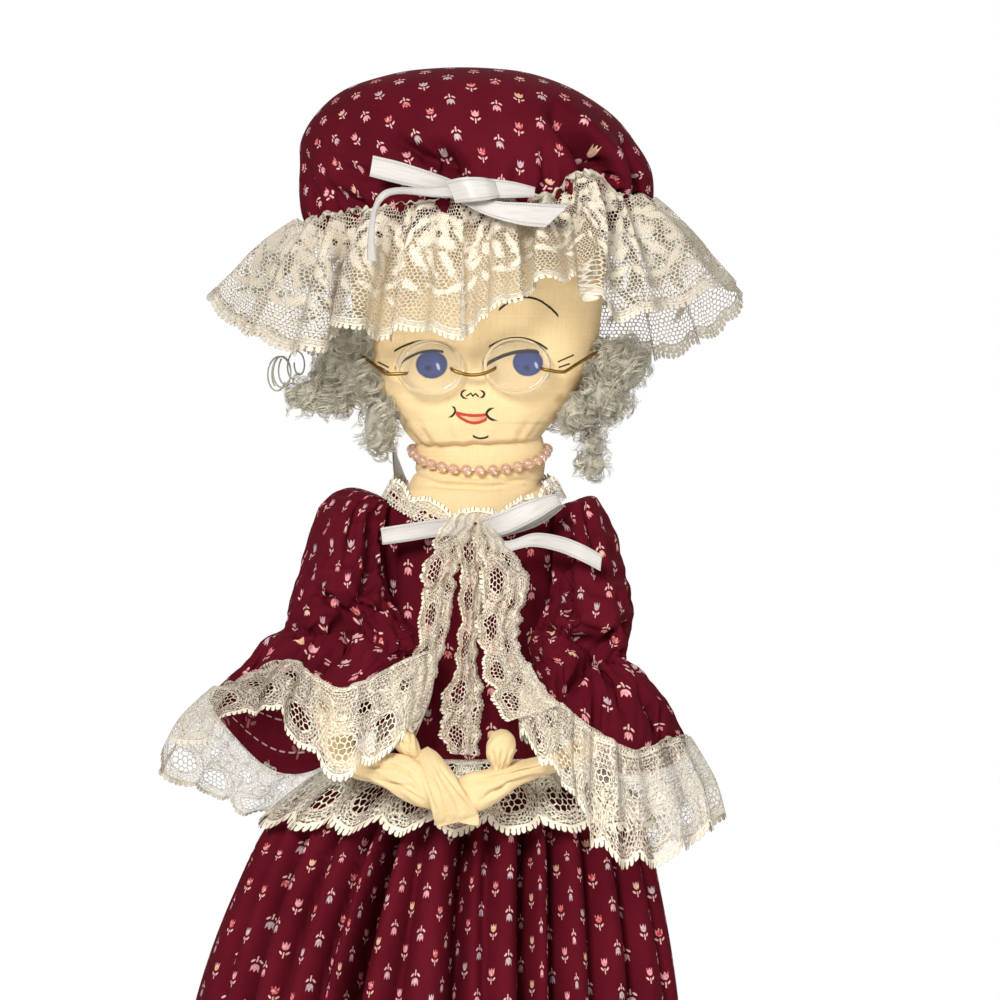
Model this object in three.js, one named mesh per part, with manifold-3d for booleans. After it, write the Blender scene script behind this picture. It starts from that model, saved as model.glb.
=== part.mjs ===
import * as THREE from "three";
import { mergeVertices } from "three/addons/utils/BufferGeometryUtils.js";
import Module from "manifold-3d";

const wasm = await Module();
wasm.setup();

// Millimetres, +Z up. The doll faces -Y and hangs from the top of its ribbon loop, which is the origin.
// Sizes are given from the doll's middle plane, which lies in front of the loop. Left and right are the viewer's.

// Cloth thickness as modelled, and gaps
const clearance = 0.4;
const jointClearance = 0.6;
const muslinWall = 0.8;
const calicoWall = 1.0;
const laceWall = 0.8;
const ribbonWall = 0.8;
const elasticWall = 1.2;

// Head
const headX = 0.5;
const chinZ = -77;
const headHeight = 108;
const headHalfWidth = 45;
const headHalfDepth = 27.5;
const chinOverlap = 2;
const nodDrop = 7;
const nodZ = chinZ - nodDrop;

// Neck and body
const neckX = 0;
const neckHalfWidth = 22.3;
const neckHalfDepth = 15;
const neckLength = 15;
const shoulderDrop = 14;
const bodyX = -2.5;
const chestHalfWidth = 31;
const chestHalfDepth = 22;
const waistHalfWidth = 30;
const waistHalfDepth = 21;
const bodiceLength = 86;
const neckHole = 9;
const neckBaseZ = chinZ - neckLength;
const shoulderZ = neckBaseZ - shoulderDrop;
const waistZ = shoulderZ - bodiceLength;
const necklineZ = neckBaseZ - 8;
const bodiceHemRise = 13;
const collarHeight = 7.5;

// Necklace
const beadRadius = 2;
const threadRadius = 0.7;
const beadCount = 30;
const necklaceRise = 2;
const necklaceSag = 5;

// Cap
const capX = 0.5;
const capBandZ = -5;
const capBandHalfWidth = 47.4;
const capBandHalfDepth = 30.2;
const capHalfWidth = 63;
const capHalfDepth = 46.5;
const capHeight = 59.5;
const capElasticHeight = 5;
const capLaceHalfWidth = 93;
const capLaceHalfDepth = 51;
const capLaceForward = 9;
const capLaceDrop = 31;

// Spectacles
const lensX = -1;
const lensHalfSpacing = 15;
const lensHalfWidth = 12.2;
const lensHalfHeight = 9.9;
const lensWall = 1.2;
const lensZ = -50.5;
const lensStandoff = 2.2;
const wireRadius = 0.6;
const holeInset = 2.6;

// Arms and sleeves, given outwards from the middle of the body
const armRadius = 8;
const armAxisZ = shoulderZ + 2;
const handsX = -8;
const handY = -57;
const handDrop = 95;
const handHalfHeight = 6;
const handHalfDepth = 4;
const wrapHalfLength = 10;
const wrapWall = 1.5;
const sleeveRadius = 18.5;
const sleeveNeckRadius = 11;
const sleeveGatherRadius = 13;
const sleeveLength = 42;
const flounceWave = 0.04;
const thumbRadius = 4;
const thumbHeight = 7.5;

// Ribbon
const ribbonWidth = 6.4;
const loopHalfWidth = 31;
const loopY = 53.5;

// Skirt
const skirtLength = 392;
const skirtHalfWidth = 105;
const skirtHalfDepth = 58;
const skirtTopHalfWidth = 34;
const skirtTopHalfDepth = 26;
const mouthHalfWidth = 42;
const mouthHalfDepth = 36;
const ruffleLength = 22;
const ruffleHalfWidth = 59;
const ruffleHalfDepth = 49;
const skirtLean = 18;
const foldCount = 16;
const foldDepth = 2.6;
const waistbandHeight = 5;
const waistbandWall = 2;
const hemElasticHeight = 6;
const peplumLength = 17;
const slitHalfWidth = 17;
const slitHalfLength = 66;
const slitTopDrop = 26;
const mouthZ = waistZ - skirtLength;

const clothWaves = 6;
const fullTurn = 2 * Math.PI;
const coarse = 18;
const medium = 24;

const muslin = { color: 0xe6cdb2, roughness: 0.95 };
const calico = { color: 0x6b1b33, roughness: 0.95 };
const laceCotton = { color: 0xf1ead8, roughness: 0.9 };
const satin = { color: 0xf5f2ea, roughness: 0.45 };
const mohair = { color: 0x97938a, roughness: 1 };
const fibre = { color: 0xf2f2ee, roughness: 1 };
const rubber = { color: 0xe9e6df, roughness: 0.8 };
const goldWire = { color: 0xb98d3e, roughness: 0.3, metalness: 1 };
const clear = { color: 0xe8eef0, roughness: 0.08 };
const pearl = { color: 0xe7b9a2, roughness: 0.3 };

const doll = new THREE.Group();
doll.name = "bag_holder_doll";

// One group for each part of the doll that moves as a whole
const [bodyGroup, headGroup, armGroup, skirtGroup] = ["body", "head", "arms", "skirt"].map((name) => {
  const group = new THREE.Group();
  group.name = name;
  group.position.y = -loopY;
  doll.add(group);
  return group;
});

function add(group, name, geometry, look) {
  const mesh = new THREE.Mesh(geometry, new THREE.MeshStandardMaterial(look));
  mesh.name = name;
  group.add(mesh);
}

// Smooth rows through a list of stations, each a list of numbers
function eased(stations, steps) {
  const last = stations.length - 1;
  const rows = [];
  for (let i = 0; i < last; i += 1) {
    const before = stations[Math.max(i - 1, 0)];
    const from = stations[i];
    const to = stations[i + 1];
    const after = stations[Math.min(i + 2, last)];
    for (let s = 0; s < steps; s += 1) {
      const t = s / steps;
      rows.push(from.map((p, k) => {
        const m0 = (to[k] - before[k]) / 2;
        const m1 = (after[k] - p) / 2;
        const d = to[k] - p;
        return p + t * (m0 + t * (3 * d - 2 * m0 - m1 + t * (m0 + m1 - 2 * d)));
      }));
    }
  }
  rows.push(stations[last]);
  return rows;
}

// The row of a list of stations [z, ...] at height z
function rowAt(rows, z) {
  const found = rows.findIndex((row, k) => k + 1 < rows.length && (row[0] - z) * (rows[k + 1][0] - z) <= 0);
  const i = Math.max(found, 0);
  const t = (z - rows[i][0]) / (rows[i + 1][0] - rows[i][0]);
  return rows[i].map((p, k) => p + t * (rows[i + 1][k] - p));
}

// The rows of a list of stations between two heights, with a row at each end
function rowsBetween(rows, low, high) {
  const inside = rows.filter(([z]) => z > low + 0.5 && z < high - 0.5);
  return [rowAt(rows, low), ...inside.sort((p, q) => p[0] - q[0]), rowAt(rows, high)];
}

// A point of the level oval [z, x, y, half width, half depth], moved outwards by grow
function ovalPoint([z, x, y, a, b], turn, grow) {
  const out = new THREE.Vector2(b * Math.cos(turn), a * Math.sin(turn)).normalize();
  return new THREE.Vector3(x + a * Math.cos(turn) + grow * out.x, y + b * Math.sin(turn) + grow * out.y, z);
}

function oval(row, grow, sides, fold = () => 0) {
  return Array.from({ length: sides }, (_, j) => {
    const turn = (fullTurn * j) / sides;
    return ovalPoint(row, turn, grow + fold(turn, row[0]));
  });
}

// A tilted oval [centre, half axis u, half axis v]
function hoop(row, grow, sides, wave = 0) {
  const centre = new THREE.Vector3(row[0], row[1], row[2]);
  const u = new THREE.Vector3(row[3], row[4], row[5]);
  const v = new THREE.Vector3(row[6], row[7], row[8]);
  u.setLength(u.length() + grow);
  v.setLength(v.length() + grow);
  return Array.from({ length: sides }, (_, j) => {
    const turn = (fullTurn * j) / sides;
    const swell = 1 + wave * Math.cos(clothWaves * turn);
    return centre.clone().addScaledVector(u, swell * Math.cos(turn)).addScaledVector(v, swell * Math.sin(turn));
  });
}

// A closed geometry from points and triangles, with its faces turned outwards
function closed(points, triangles) {
  let volume = 0;
  for (let i = 0; i < triangles.length; i += 3) {
    const [p, q, r] = [0, 1, 2].map((k) => points[triangles[i + k]]);
    volume += p.dot(q.clone().cross(r));
  }
  const geometry = new THREE.BufferGeometry().setFromPoints(points);
  geometry.setIndex(volume < 0 ? triangles.slice().reverse() : triangles);
  return geometry;
}

// A skin through loops of points: a ring joins its last loop to its first, else both ends are capped
function skin(loops, ring = false) {
  const sides = loops[0].length;
  const points = loops.flat();
  const triangles = [];
  const spans = ring ? loops.length : loops.length - 1;
  for (let i = 0; i < spans; i += 1) {
    const here = i * sides;
    const next = ((i + 1) % loops.length) * sides;
    for (let j = 0; j < sides; j += 1) {
      const k = (j + 1) % sides;
      triangles.push(here + j, here + k, next + k, here + j, next + k, next + j);
    }
  }
  if (!ring) {
    for (const [start, loop, order] of [[0, loops[0], -1], [points.length - sides, loops.at(-1), 1]]) {
      const middle = loop.reduce((sum, p) => sum.add(p), new THREE.Vector3()).divideScalar(sides);
      const hub = points.push(middle) - 1;
      for (let j = 0; j < sides; j += 1) {
        const k = (j + 1) % sides;
        triangles.push(...(order > 0 ? [start + j, start + k, hub] : [start + k, start + j, hub]));
      }
    }
  }
  return closed(points, triangles);
}

// An open sleeve between an outer and an inner run of loops
function sleeveOf(outer, inner) {
  return skin([...outer, ...inner.reverse()], true);
}

// A cup: the first loops of both runs are the closed end
function cupOf(outer, inner) {
  return skin([...outer, ...inner.reverse()]);
}

// A panel between two grids of points that face each other
function panel(front, back) {
  const rows = front.length;
  const columns = front[0].length;
  const points = [...front.flat(), ...back.flat()];
  const at = (side, i, j) => side * rows * columns + i * columns + j;
  const triangles = [];
  const quad = (a, b, c, d) => triangles.push(a, b, c, a, c, d);
  for (let i = 0; i + 1 < rows; i += 1) {
    for (let j = 0; j + 1 < columns; j += 1) {
      quad(at(0, i, j), at(0, i, j + 1), at(0, i + 1, j + 1), at(0, i + 1, j));
      quad(at(1, i + 1, j), at(1, i + 1, j + 1), at(1, i, j + 1), at(1, i, j));
    }
    quad(at(0, i, 0), at(0, i + 1, 0), at(1, i + 1, 0), at(1, i, 0));
    const j = columns - 1;
    quad(at(0, i + 1, j), at(0, i, j), at(1, i, j), at(1, i + 1, j));
  }
  const last = rows - 1;
  for (let j = 0; j + 1 < columns; j += 1) {
    quad(at(0, 0, j + 1), at(0, 0, j), at(1, 0, j), at(1, 0, j + 1));
    quad(at(0, last, j), at(0, last, j + 1), at(1, last, j + 1), at(1, last, j));
  }
  return closed(points, triangles);
}

// A strip of even thickness on a grid of points
function strip(grid, wall) {
  const lastRow = grid.length - 1;
  const lastColumn = grid[0].length - 1;
  const normals = grid.map((row, i) => row.map((_, j) => {
    const along = grid[Math.min(i + 1, lastRow)][j].clone().sub(grid[Math.max(i - 1, 0)][j]);
    const across = row[Math.min(j + 1, lastColumn)].clone().sub(row[Math.max(j - 1, 0)]);
    return along.cross(across).normalize();
  }));
  const layer = (offset) => grid.map((row, i) => row.map((p, j) => p.clone().addScaledVector(normals[i][j], offset)));
  return panel(layer(wall / 2), layer(-wall / 2));
}

// A ribbon through stations [x, y, z, across x, across y, across z]
function ribbon(stations, steps, wall, width) {
  return strip(eased(stations, steps).map(([x, y, z, ax, ay, az]) => {
    const across = new THREE.Vector3(ax, ay, az).setLength(width / 2);
    const middle = new THREE.Vector3(x, y, z);
    return [-1, 0, 1].map((k) => middle.clone().addScaledVector(across, k));
  }), wall);
}

function solid(geometry) {
  const bare = geometry.clone();
  bare.deleteAttribute("normal");
  bare.deleteAttribute("uv");
  const welded = mergeVertices(bare, 1e-4);
  return new wasm.Manifold(new wasm.Mesh({
    numProp: 3,
    vertProperties: welded.attributes.position.array,
    triVerts: new Uint32Array(welded.index.array),
  }));
}

function geometryOf(body) {
  const mesh = body.getMesh();
  const geometry = new THREE.BufferGeometry();
  geometry.setAttribute("position", new THREE.BufferAttribute(new Float32Array(mesh.vertProperties), 3));
  geometry.setIndex(Array.from(mesh.triVerts));
  return geometry;
}

function cut(geometry, ...tools) {
  return geometryOf(tools.reduce((left, tool) => left.subtract(solid(tool)), solid(geometry)));
}

function join(...geometries) {
  return geometryOf(geometries.map(solid).reduce((sum, part) => sum.add(part)));
}

function ellipsoid(x, y, z, a, b, c, sides = 16) {
  return new THREE.SphereGeometry(1, sides, sides / 2).rotateX(Math.PI / 2).scale(a, b, c).translate(x, y, z);
}

function wire(points) {
  const outline = new THREE.Shape().absarc(0, 0, wireRadius, 0, fullTurn);
  const path = new THREE.CatmullRomCurve3(points.map((p) => new THREE.Vector3(...p)), false, "centripetal");
  return new THREE.ExtrudeGeometry(outline, {
    steps: 3 * (points.length - 1),
    curveSegments: 3,
    bevelEnabled: false,
    extrudePath: path,
  });
}

// Head: a stuffed muslin bag with its mouth down over the neck
const headRows = eased([
  [chinZ, headX, 0, neckHalfWidth + chinOverlap, neckHalfDepth + chinOverlap],
  [chinZ + 0.076 * headHeight, headX, 0, 0.62 * headHalfWidth, 0.76 * headHalfDepth],
  [chinZ + 0.17 * headHeight, headX, 0, 0.81 * headHalfWidth, 0.89 * headHalfDepth],
  [chinZ + 0.29 * headHeight, headX, 0, 0.93 * headHalfWidth, 0.97 * headHalfDepth],
  [chinZ + 0.45 * headHeight, headX, 0, headHalfWidth, headHalfDepth],
  [chinZ + 0.68 * headHeight, headX, 0, 0.96 * headHalfWidth, 0.97 * headHalfDepth],
  [chinZ + 0.85 * headHeight, headX, 0, 0.76 * headHalfWidth, 0.8 * headHalfDepth],
  [chinZ + 0.95 * headHeight, headX, 0, 0.46 * headHalfWidth, 0.52 * headHalfDepth],
  [chinZ + headHeight, headX, 0, 0.14 * headHalfWidth, 0.2 * headHalfDepth],
], 1).reverse();
const insideHead = headRows.slice(1);
add(headGroup, "head_skin", cupOf(
  headRows.map((row) => oval(row, 0, medium)),
  insideHead.map((row) => oval(row, -muslinWall, medium)),
), muslin);

const neckSeat = ellipsoid(
  neckX, 0, nodZ,
  neckHalfWidth + jointClearance, neckHalfDepth + jointClearance, neckHalfDepth + jointClearance, medium,
);
add(headGroup, "head_stuffing", cut(
  skin(headRows.slice(2).map((row) => oval(row, -muslinWall - 2 * clearance, medium))),
  neckSeat,
), fibre);

// Body: a rounded neck top that the head nods on, and a rounded lower end that the skirt swings on
const capRise = (span, half) => Math.sqrt(1 - (span / half) ** 2);
const neckTop = [0.35, 0.62, 0.85].map((sine) => {
  const share = capRise(sine, 1);
  return [nodZ + sine * neckHalfDepth, neckX, 0, neckHalfWidth * share, neckHalfDepth * share];
});
const bodyEnd = [0.3, 0.6, 0.84, 0.97].map((sine) => {
  const share = capRise(sine, 1);
  return [waistZ - sine * waistHalfDepth, bodyX, 0, waistHalfWidth * share, waistHalfDepth * share];
});
const bodyRows = [
  ...bodyEnd.reverse(),
  ...eased([
    [waistZ, bodyX, 0, waistHalfWidth, waistHalfDepth],
    [waistZ + 0.3 * bodiceLength, bodyX, 0, 0.98 * chestHalfWidth, 0.98 * chestHalfDepth],
    [waistZ + 0.8 * bodiceLength, bodyX, 0, chestHalfWidth, chestHalfDepth],
    [shoulderZ, bodyX, 0, chestHalfWidth, 0.94 * chestHalfDepth],
    [shoulderZ + 0.55 * shoulderDrop, neckX, 0, neckHalfWidth + 4.5, neckHalfDepth + 2],
    [neckBaseZ, neckX, 0, neckHalfWidth + 0.6, neckHalfDepth + 0.4],
  ], 1),
  [nodZ, neckX, 0, neckHalfWidth, neckHalfDepth],
  ...neckTop,
];
const neckRim = [nodZ + 0.9 * neckHalfDepth, neckX, 0, neckHole, neckHole * (neckHalfDepth / neckHalfWidth)];
add(bodyGroup, "body_skin", cupOf(
  [...bodyRows, neckRim].map((row) => oval(row, 0, medium)),
  [...bodyRows.slice(1), neckRim].map((row) => oval(row, -muslinWall, medium)),
), muslin);
add(bodyGroup, "body_stuffing", skin(
  bodyRows.slice(2, -2).map((row) => oval(row, -muslinWall - 2 * clearance, medium)),
), fibre);

// Bodice: a front and a back half over the body, meeting at the side seams
const seamGap = 0.014;
const upperBody = bodyRows.filter((row) => row[0] >= waistZ);
const bodiceRows = rowsBetween(upperBody, waistZ + bodiceHemRise, necklineZ);
function bodiceGrid(start, grow) {
  const columns = medium / 2;
  return bodiceRows.map((row) => Array.from({ length: columns + 1 }, (_, j) => {
    const turn = start + Math.min(Math.max((Math.PI * j) / columns, seamGap), Math.PI - seamGap);
    return ovalPoint(row, turn, grow);
  }));
}
const bodiceGrow = clearance + calicoWall;
add(bodyGroup, "bodice_front", panel(bodiceGrid(Math.PI, bodiceGrow), bodiceGrid(Math.PI, clearance)), calico);
add(bodyGroup, "bodice_back", panel(bodiceGrid(0, bodiceGrow), bodiceGrid(0, clearance)), calico);

// Collar lace round the neckline
const collarRows = rowsBetween(upperBody, necklineZ, necklineZ + collarHeight);
const collarGrow = bodiceGrow + 1.4 * clearance;
add(bodyGroup, "collar_lace", sleeveOf(
  collarRows.map((row) => oval(row, collarGrow + laceWall, medium)),
  collarRows.map((row) => oval(row, collarGrow, medium)),
), laceCotton);

// Necklace: beads on a thread, hanging lower in front
const beadSteps = 4;
const beadSides = 5;
const necklaceSteps = beadCount * beadSteps;
const necklaceOff = beadRadius + clearance;
add(bodyGroup, "necklace", skin(Array.from({ length: necklaceSteps }, (_, i) => {
  const turn = (fullTurn * i) / necklaceSteps;
  const z = nodZ + necklaceRise - necklaceSag * Math.max(0, -Math.sin(turn)) ** 1.5;
  const row = rowAt(bodyRows, Math.min(z, nodZ));
  const middle = ovalPoint(row, turn, necklaceOff);
  const outward = ovalPoint(row, turn, necklaceOff + 1).sub(middle).setZ(0);
  const wave = Math.abs(Math.sin((Math.PI * i) / beadSteps));
  const radius = Math.max(threadRadius, beadRadius * Math.sqrt(1 - (1 - wave) ** 2));
  return Array.from({ length: beadSides }, (_, j) => {
    const round = (fullTurn * j) / beadSides;
    return middle.clone().addScaledVector(outward, radius * Math.cos(round)).setZ(z + radius * Math.sin(round));
  });
}), true), pearl);

// Neck bow of satin ribbon on the collar
const bowZ = shoulderZ - 1;
const bowRow = rowAt(upperBody, bowZ);
const bowFace = ovalPoint(bowRow, -Math.PI / 2, bodiceGrow + clearance).y;
const bowY = bowFace - 2.2;
const bowX = bodyX + 1;
const bowReach = 0.75 * chestHalfWidth;
const upright = [0, 0, 1];
add(bodyGroup, "neck_bow", join(
  ellipsoid(bowX, bowY, bowZ, 4.2, 2.1, 4.2, 8),
  ribbon([[bowX, bowY, bowZ, ...upright], [bowX - 14, bowY - 1.5, bowZ + 0.5, ...upright],
    [bowX - bowReach - 5, bowY - 0.5, bowZ - 3, ...upright]], 2, 1.6, ribbonWidth),
  ribbon([[bowX, bowY, bowZ, ...upright], [bowX + 13, bowY - 1.5, bowZ + 5, -0.3, 0, 1],
    [bowX + bowReach, bowY - 0.5, bowZ + 9, -0.3, 0, 1]], 2, 1.6, ribbonWidth),
  ribbon([[bowX, bowY, bowZ, ...upright], [bowX + 11, bowY - 1.5, bowZ - 5, 0.4, 0, 1],
    [bowX + bowReach, bowY - 0.5, bowZ - 10, 0.4, 0, 1]], 2, 1.2, ribbonWidth),
), satin);

// Jabot: three lace tails that hang from the bow down the bodice front
const jabotTopZ = bowZ - 6;
const jabotLength = jabotTopZ - waistZ - 11;
function tail(name, from, to, length, sway) {
  const rows = 9;
  const columns = 6;
  const grid = Array.from({ length: rows }, (_, i) => Array.from({ length: columns + 1 }, (_, j) => {
    const down = i / (rows - 1);
    const across = j / columns;
    const z = jabotTopZ - length * down;
    const x = bodyX + from + (to - from) * across + sway * down;
    const [, middle, , a, b] = rowAt(upperBody, Math.max(z, waistZ));
    const face = (b + bodiceGrow) * Math.sqrt(1 - ((x - middle) / (a + bodiceGrow)) ** 2);
    const ripple = 1.3 * (1 - Math.cos(fullTurn * across * 1.5)) * Math.min(1, 4 * down);
    return new THREE.Vector3(x, -face - 1.5 * clearance - laceWall / 2 - ripple, z);
  }));
  add(bodyGroup, name, strip(grid, laceWall), laceCotton);
}
tail("jabot_left", -18, -6.5, 0.76 * jabotLength, -1.5);
tail("jabot_middle", -5.4, 7.4, jabotLength, -1);
tail("jabot_right", 8.5, 20, 0.76 * jabotLength, 2);

// Hanging loop of ribbon, both ends sewn flat on the back of the bodice
const tabX = 22;
const tabZ = shoulderZ - 12;
const tabRow = rowAt(upperBody, tabZ);
const tabBack = (tabX - ribbonWidth / 2) / (tabRow[3] + bodiceGrow);
const tabY = (tabRow[4] + bodiceGrow) * Math.sqrt(1 - tabBack ** 2) + 3.2 * clearance + ribbonWall / 2;
const loopSide = (side) => [
  [bodyX + side * tabX, tabY, tabZ, 1, 0, 0],
  [bodyX + side * tabX, tabY, tabZ + 12, 1, 0, 0],
  [side * 0.9 * loopHalfWidth, 0.4 * tabY + 0.6 * loopY, tabZ + 27, 0.7, side * 0.7, 0],
  [side * loopHalfWidth, loopY, tabZ + 46, 0, side, 0],
  [side * loopHalfWidth, loopY, -1.5 * loopHalfWidth, 0, side, 0],
];
const loopTop = [0.25, 0.5, 0.75].map((share) => [
  -loopHalfWidth * Math.cos(Math.PI * share), loopY, -loopHalfWidth * (1 - Math.sin(Math.PI * share)), 0, 1, 0,
]);
const flipped = loopSide(-1).map(([x, y, z, ax, ay]) => [x, y, z, -ax, -ay, 0]);
add(bodyGroup, "hang_loop", ribbon([
  ...flipped,
  [-loopHalfWidth, loopY, -loopHalfWidth, 0, 1, 0],
  ...loopTop,
  [loopHalfWidth, loopY, -loopHalfWidth, 0, 1, 0],
  ...loopSide(1).reverse(),
], 2, ribbonWall, ribbonWidth), satin);

// Cap: a gathered crown, the elastic in its casing, and a lace ruffle below
const capPuff = (share, wide) => [
  capBandZ + share * capHeight, capX, 0, wide * capHalfWidth, wide * capHalfDepth,
];
const capRows = eased([
  [capBandZ, capX, 0, capBandHalfWidth, capBandHalfDepth],
  capPuff(0.09, 0.9),
  capPuff(0.2, 0.98),
  capPuff(0.4, 1),
  capPuff(0.62, 0.92),
  capPuff(0.8, 0.76),
  capPuff(0.92, 0.53),
  capPuff(0.98, 0.28),
  capPuff(1, 0.09),
], 1).reverse();
const capSides = 30;
const capFold = (turn, z) => 1.1 * Math.cos(10 * turn) * Math.min(1, Math.max(0, (z - capBandZ) / 8));
const capCrownFold = (turn, z) => capFold(turn, z) * Math.min(1, Math.max(0, (capBandZ + capHeight - z) / 25));
add(headGroup, "cap_crown", cupOf(
  capRows.map((row) => oval(row, 0, capSides, capCrownFold)),
  capRows.slice(1).map((row) => oval(row, -calicoWall, capSides, capCrownFold)),
), calico);

const headAtBand = rowAt(headRows, capBandZ);
const elasticGrow = clearance + elasticWall;
const elasticEnds = [0.3, capElasticHeight];
add(headGroup, "cap_elastic", sleeveOf(
  elasticEnds.map((rise) => oval([capBandZ + rise, ...headAtBand.slice(1)], elasticGrow, medium)),
  elasticEnds.map((rise) => oval([capBandZ + rise, ...headAtBand.slice(1)], clearance, medium)),
), rubber);

const ruffleTopZ = capBandZ - clearance;
const capLaceRows = eased([
  [ruffleTopZ, capX, 0, capBandHalfWidth, capBandHalfDepth],
  [ruffleTopZ - 0.3 * capLaceDrop, capX, -0.3 * capLaceForward,
    0.5 * (capBandHalfWidth + capLaceHalfWidth), 0.5 * (capBandHalfDepth + capLaceHalfDepth)],
  [ruffleTopZ - capLaceDrop, capX, -capLaceForward, capLaceHalfWidth, capLaceHalfDepth],
], 2);
function ruffle(rows, wall, sides, waves, height) {
  const run = (grow) => rows.map((row, i) => oval(row, grow, sides).map((p, j) => {
    const down = i / (rows.length - 1);
    return p.setZ(p.z + height * down * Math.cos((waves * fullTurn * j) / sides));
  }));
  return sleeveOf(run(0), run(-wall));
}
add(headGroup, "cap_lace", ruffle(capLaceRows, laceWall, 35, 7, 6), laceCotton);

const capBowX = capX - 7;
const capBowZ = capBandZ + 14;
const capBowRow = rowAt(capRows, capBowZ);
const capBowY = ovalPoint(capBowRow, -Math.PI / 2, clearance + 1.3).y;
add(headGroup, "cap_bow", join(
  ellipsoid(capBowX, capBowY, capBowZ, 3.8, 2.1, 3.8, 8),
  ribbon([[capBowX, capBowY, capBowZ, ...upright], [capBowX - 14, capBowY - 1.4, capBowZ + 5, 0.3, 0, 1],
    [capBowX - 29, capBowY, capBowZ + 7, 0.1, 0, 1]], 2, 1.6, ribbonWidth),
  ribbon([[capBowX, capBowY, capBowZ, ...upright], [capBowX + 14, capBowY - 1.4, capBowZ + 2, 0, 0, 1],
    [capBowX + 28, capBowY, capBowZ - 3, 0.2, 0, 1]], 2, 1.6, ribbonWidth),
  ribbon([[capBowX, capBowY, capBowZ, ...upright], [capBowX - 9, capBowY - 4, capBowZ - 7, 1, 0, 0.6],
    [capBowX - 16, capBowY - 10, capBowZ - 14, 1, 0, 0.2]], 2, 1.2, ribbonWidth),
), satin);

// Hair: mohair bunches glued to the sides and back of the head
const headKeepOut = skin(headRows.map((row) => oval(row, clearance, medium)));
function bunch(name, balls) {
  const lumps = balls.map(([x, y, z, a, b, c]) => ellipsoid(x, y, z, a, b, c, 10));
  add(headGroup, name, cut(join(...lumps), headKeepOut), mohair);
}
bunch("hair_left", [
  [headX - 52, 3, -44, 16, 10, 14],
  [headX - 57, 2, -55, 15, 10, 12],
  [headX - 43, 1, -64, 12, 9, 10],
  [headX - 34.5, 1, -73, 7, 6, 9],
]);
bunch("hair_right", [
  [headX + 50, 3, -42, 14, 10, 13],
  [headX + 46, 2, -55, 12, 10, 12],
  [headX + 39, 1, -66, 10, 8, 10],
  [headX + 41.5, 0.5, -80, 6.5, 6, 8.5],
]);
bunch("hair_back", [
  [headX - 16, 21, -42, 17, 14, 22],
  [headX + 16, 21, -42, 17, 14, 22],
  [headX, 23, -44, 17, 15, 24],
]);

// Spectacles: two drilled lenses, a bridge and two temples of wire
const eyeRow = rowAt(headRows, lensZ);
const lensBackY = -(eyeRow[4] + lensStandoff);
const lensFrontY = lensBackY - lensWall;
const wireY = lensFrontY - 2 * clearance - wireRadius;
const tuckY = lensBackY + clearance + wireRadius;
const holeRadius = wireRadius + 1.5 * clearance;
function lens(name, side) {
  const middle = lensX + side * lensHalfSpacing;
  const outline = new THREE.Shape().absellipse(0, 0, lensHalfWidth, lensHalfHeight, 0, fullTurn);
  for (const end of [-1, 1]) {
    const hole = new THREE.Path().absarc(end * (lensHalfWidth - holeInset), -0.6, holeRadius, 0, fullTurn, true);
    outline.holes.push(hole);
  }
  const disc = new THREE.ExtrudeGeometry(outline, { depth: lensWall, bevelEnabled: false, curveSegments: 7 });
  add(headGroup, name, geometryOf(solid(disc.rotateX(Math.PI / 2).translate(middle, lensBackY, lensZ))), clear);
}
lens("lens_left", -1);
lens("lens_right", 1);

const holeOut = lensHalfWidth - holeInset;
const holeZ = lensZ - 0.6;
const innerHole = lensHalfSpacing - holeOut;
add(headGroup, "spectacle_bridge", geometryOf(solid(wire([
  [lensX - innerHole, tuckY, holeZ],
  [lensX - innerHole, lensFrontY - 0.3, holeZ],
  [lensX - innerHole + 1.2, wireY, holeZ],
  [lensX, wireY - 0.4, holeZ - 2.2],
  [lensX + innerHole - 1.2, wireY, holeZ],
  [lensX + innerHole, lensFrontY - 0.3, holeZ],
  [lensX + innerHole, tuckY, holeZ],
]))), goldWire);
function temple(name, side) {
  const hole = lensX + side * (lensHalfSpacing + holeOut);
  const onHead = (turn, z) => {
    const p = ovalPoint(rowAt(headRows, z), -Math.PI / 2 + side * turn, clearance + wireRadius);
    return [p.x, p.y, z];
  };
  add(headGroup, name, geometryOf(solid(wire([
    [hole, tuckY, holeZ],
    [hole, lensFrontY - 0.3, holeZ],
    [hole + side * 1.2, wireY, holeZ],
    [hole + side * 7, wireY + 0.6, holeZ + 0.4],
    onHead(1.15, holeZ + 4),
    onHead(1.28, holeZ + 6),
  ]))), goldWire);
}
temple("temple_left", -1);
temple("temple_right", 1);

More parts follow.
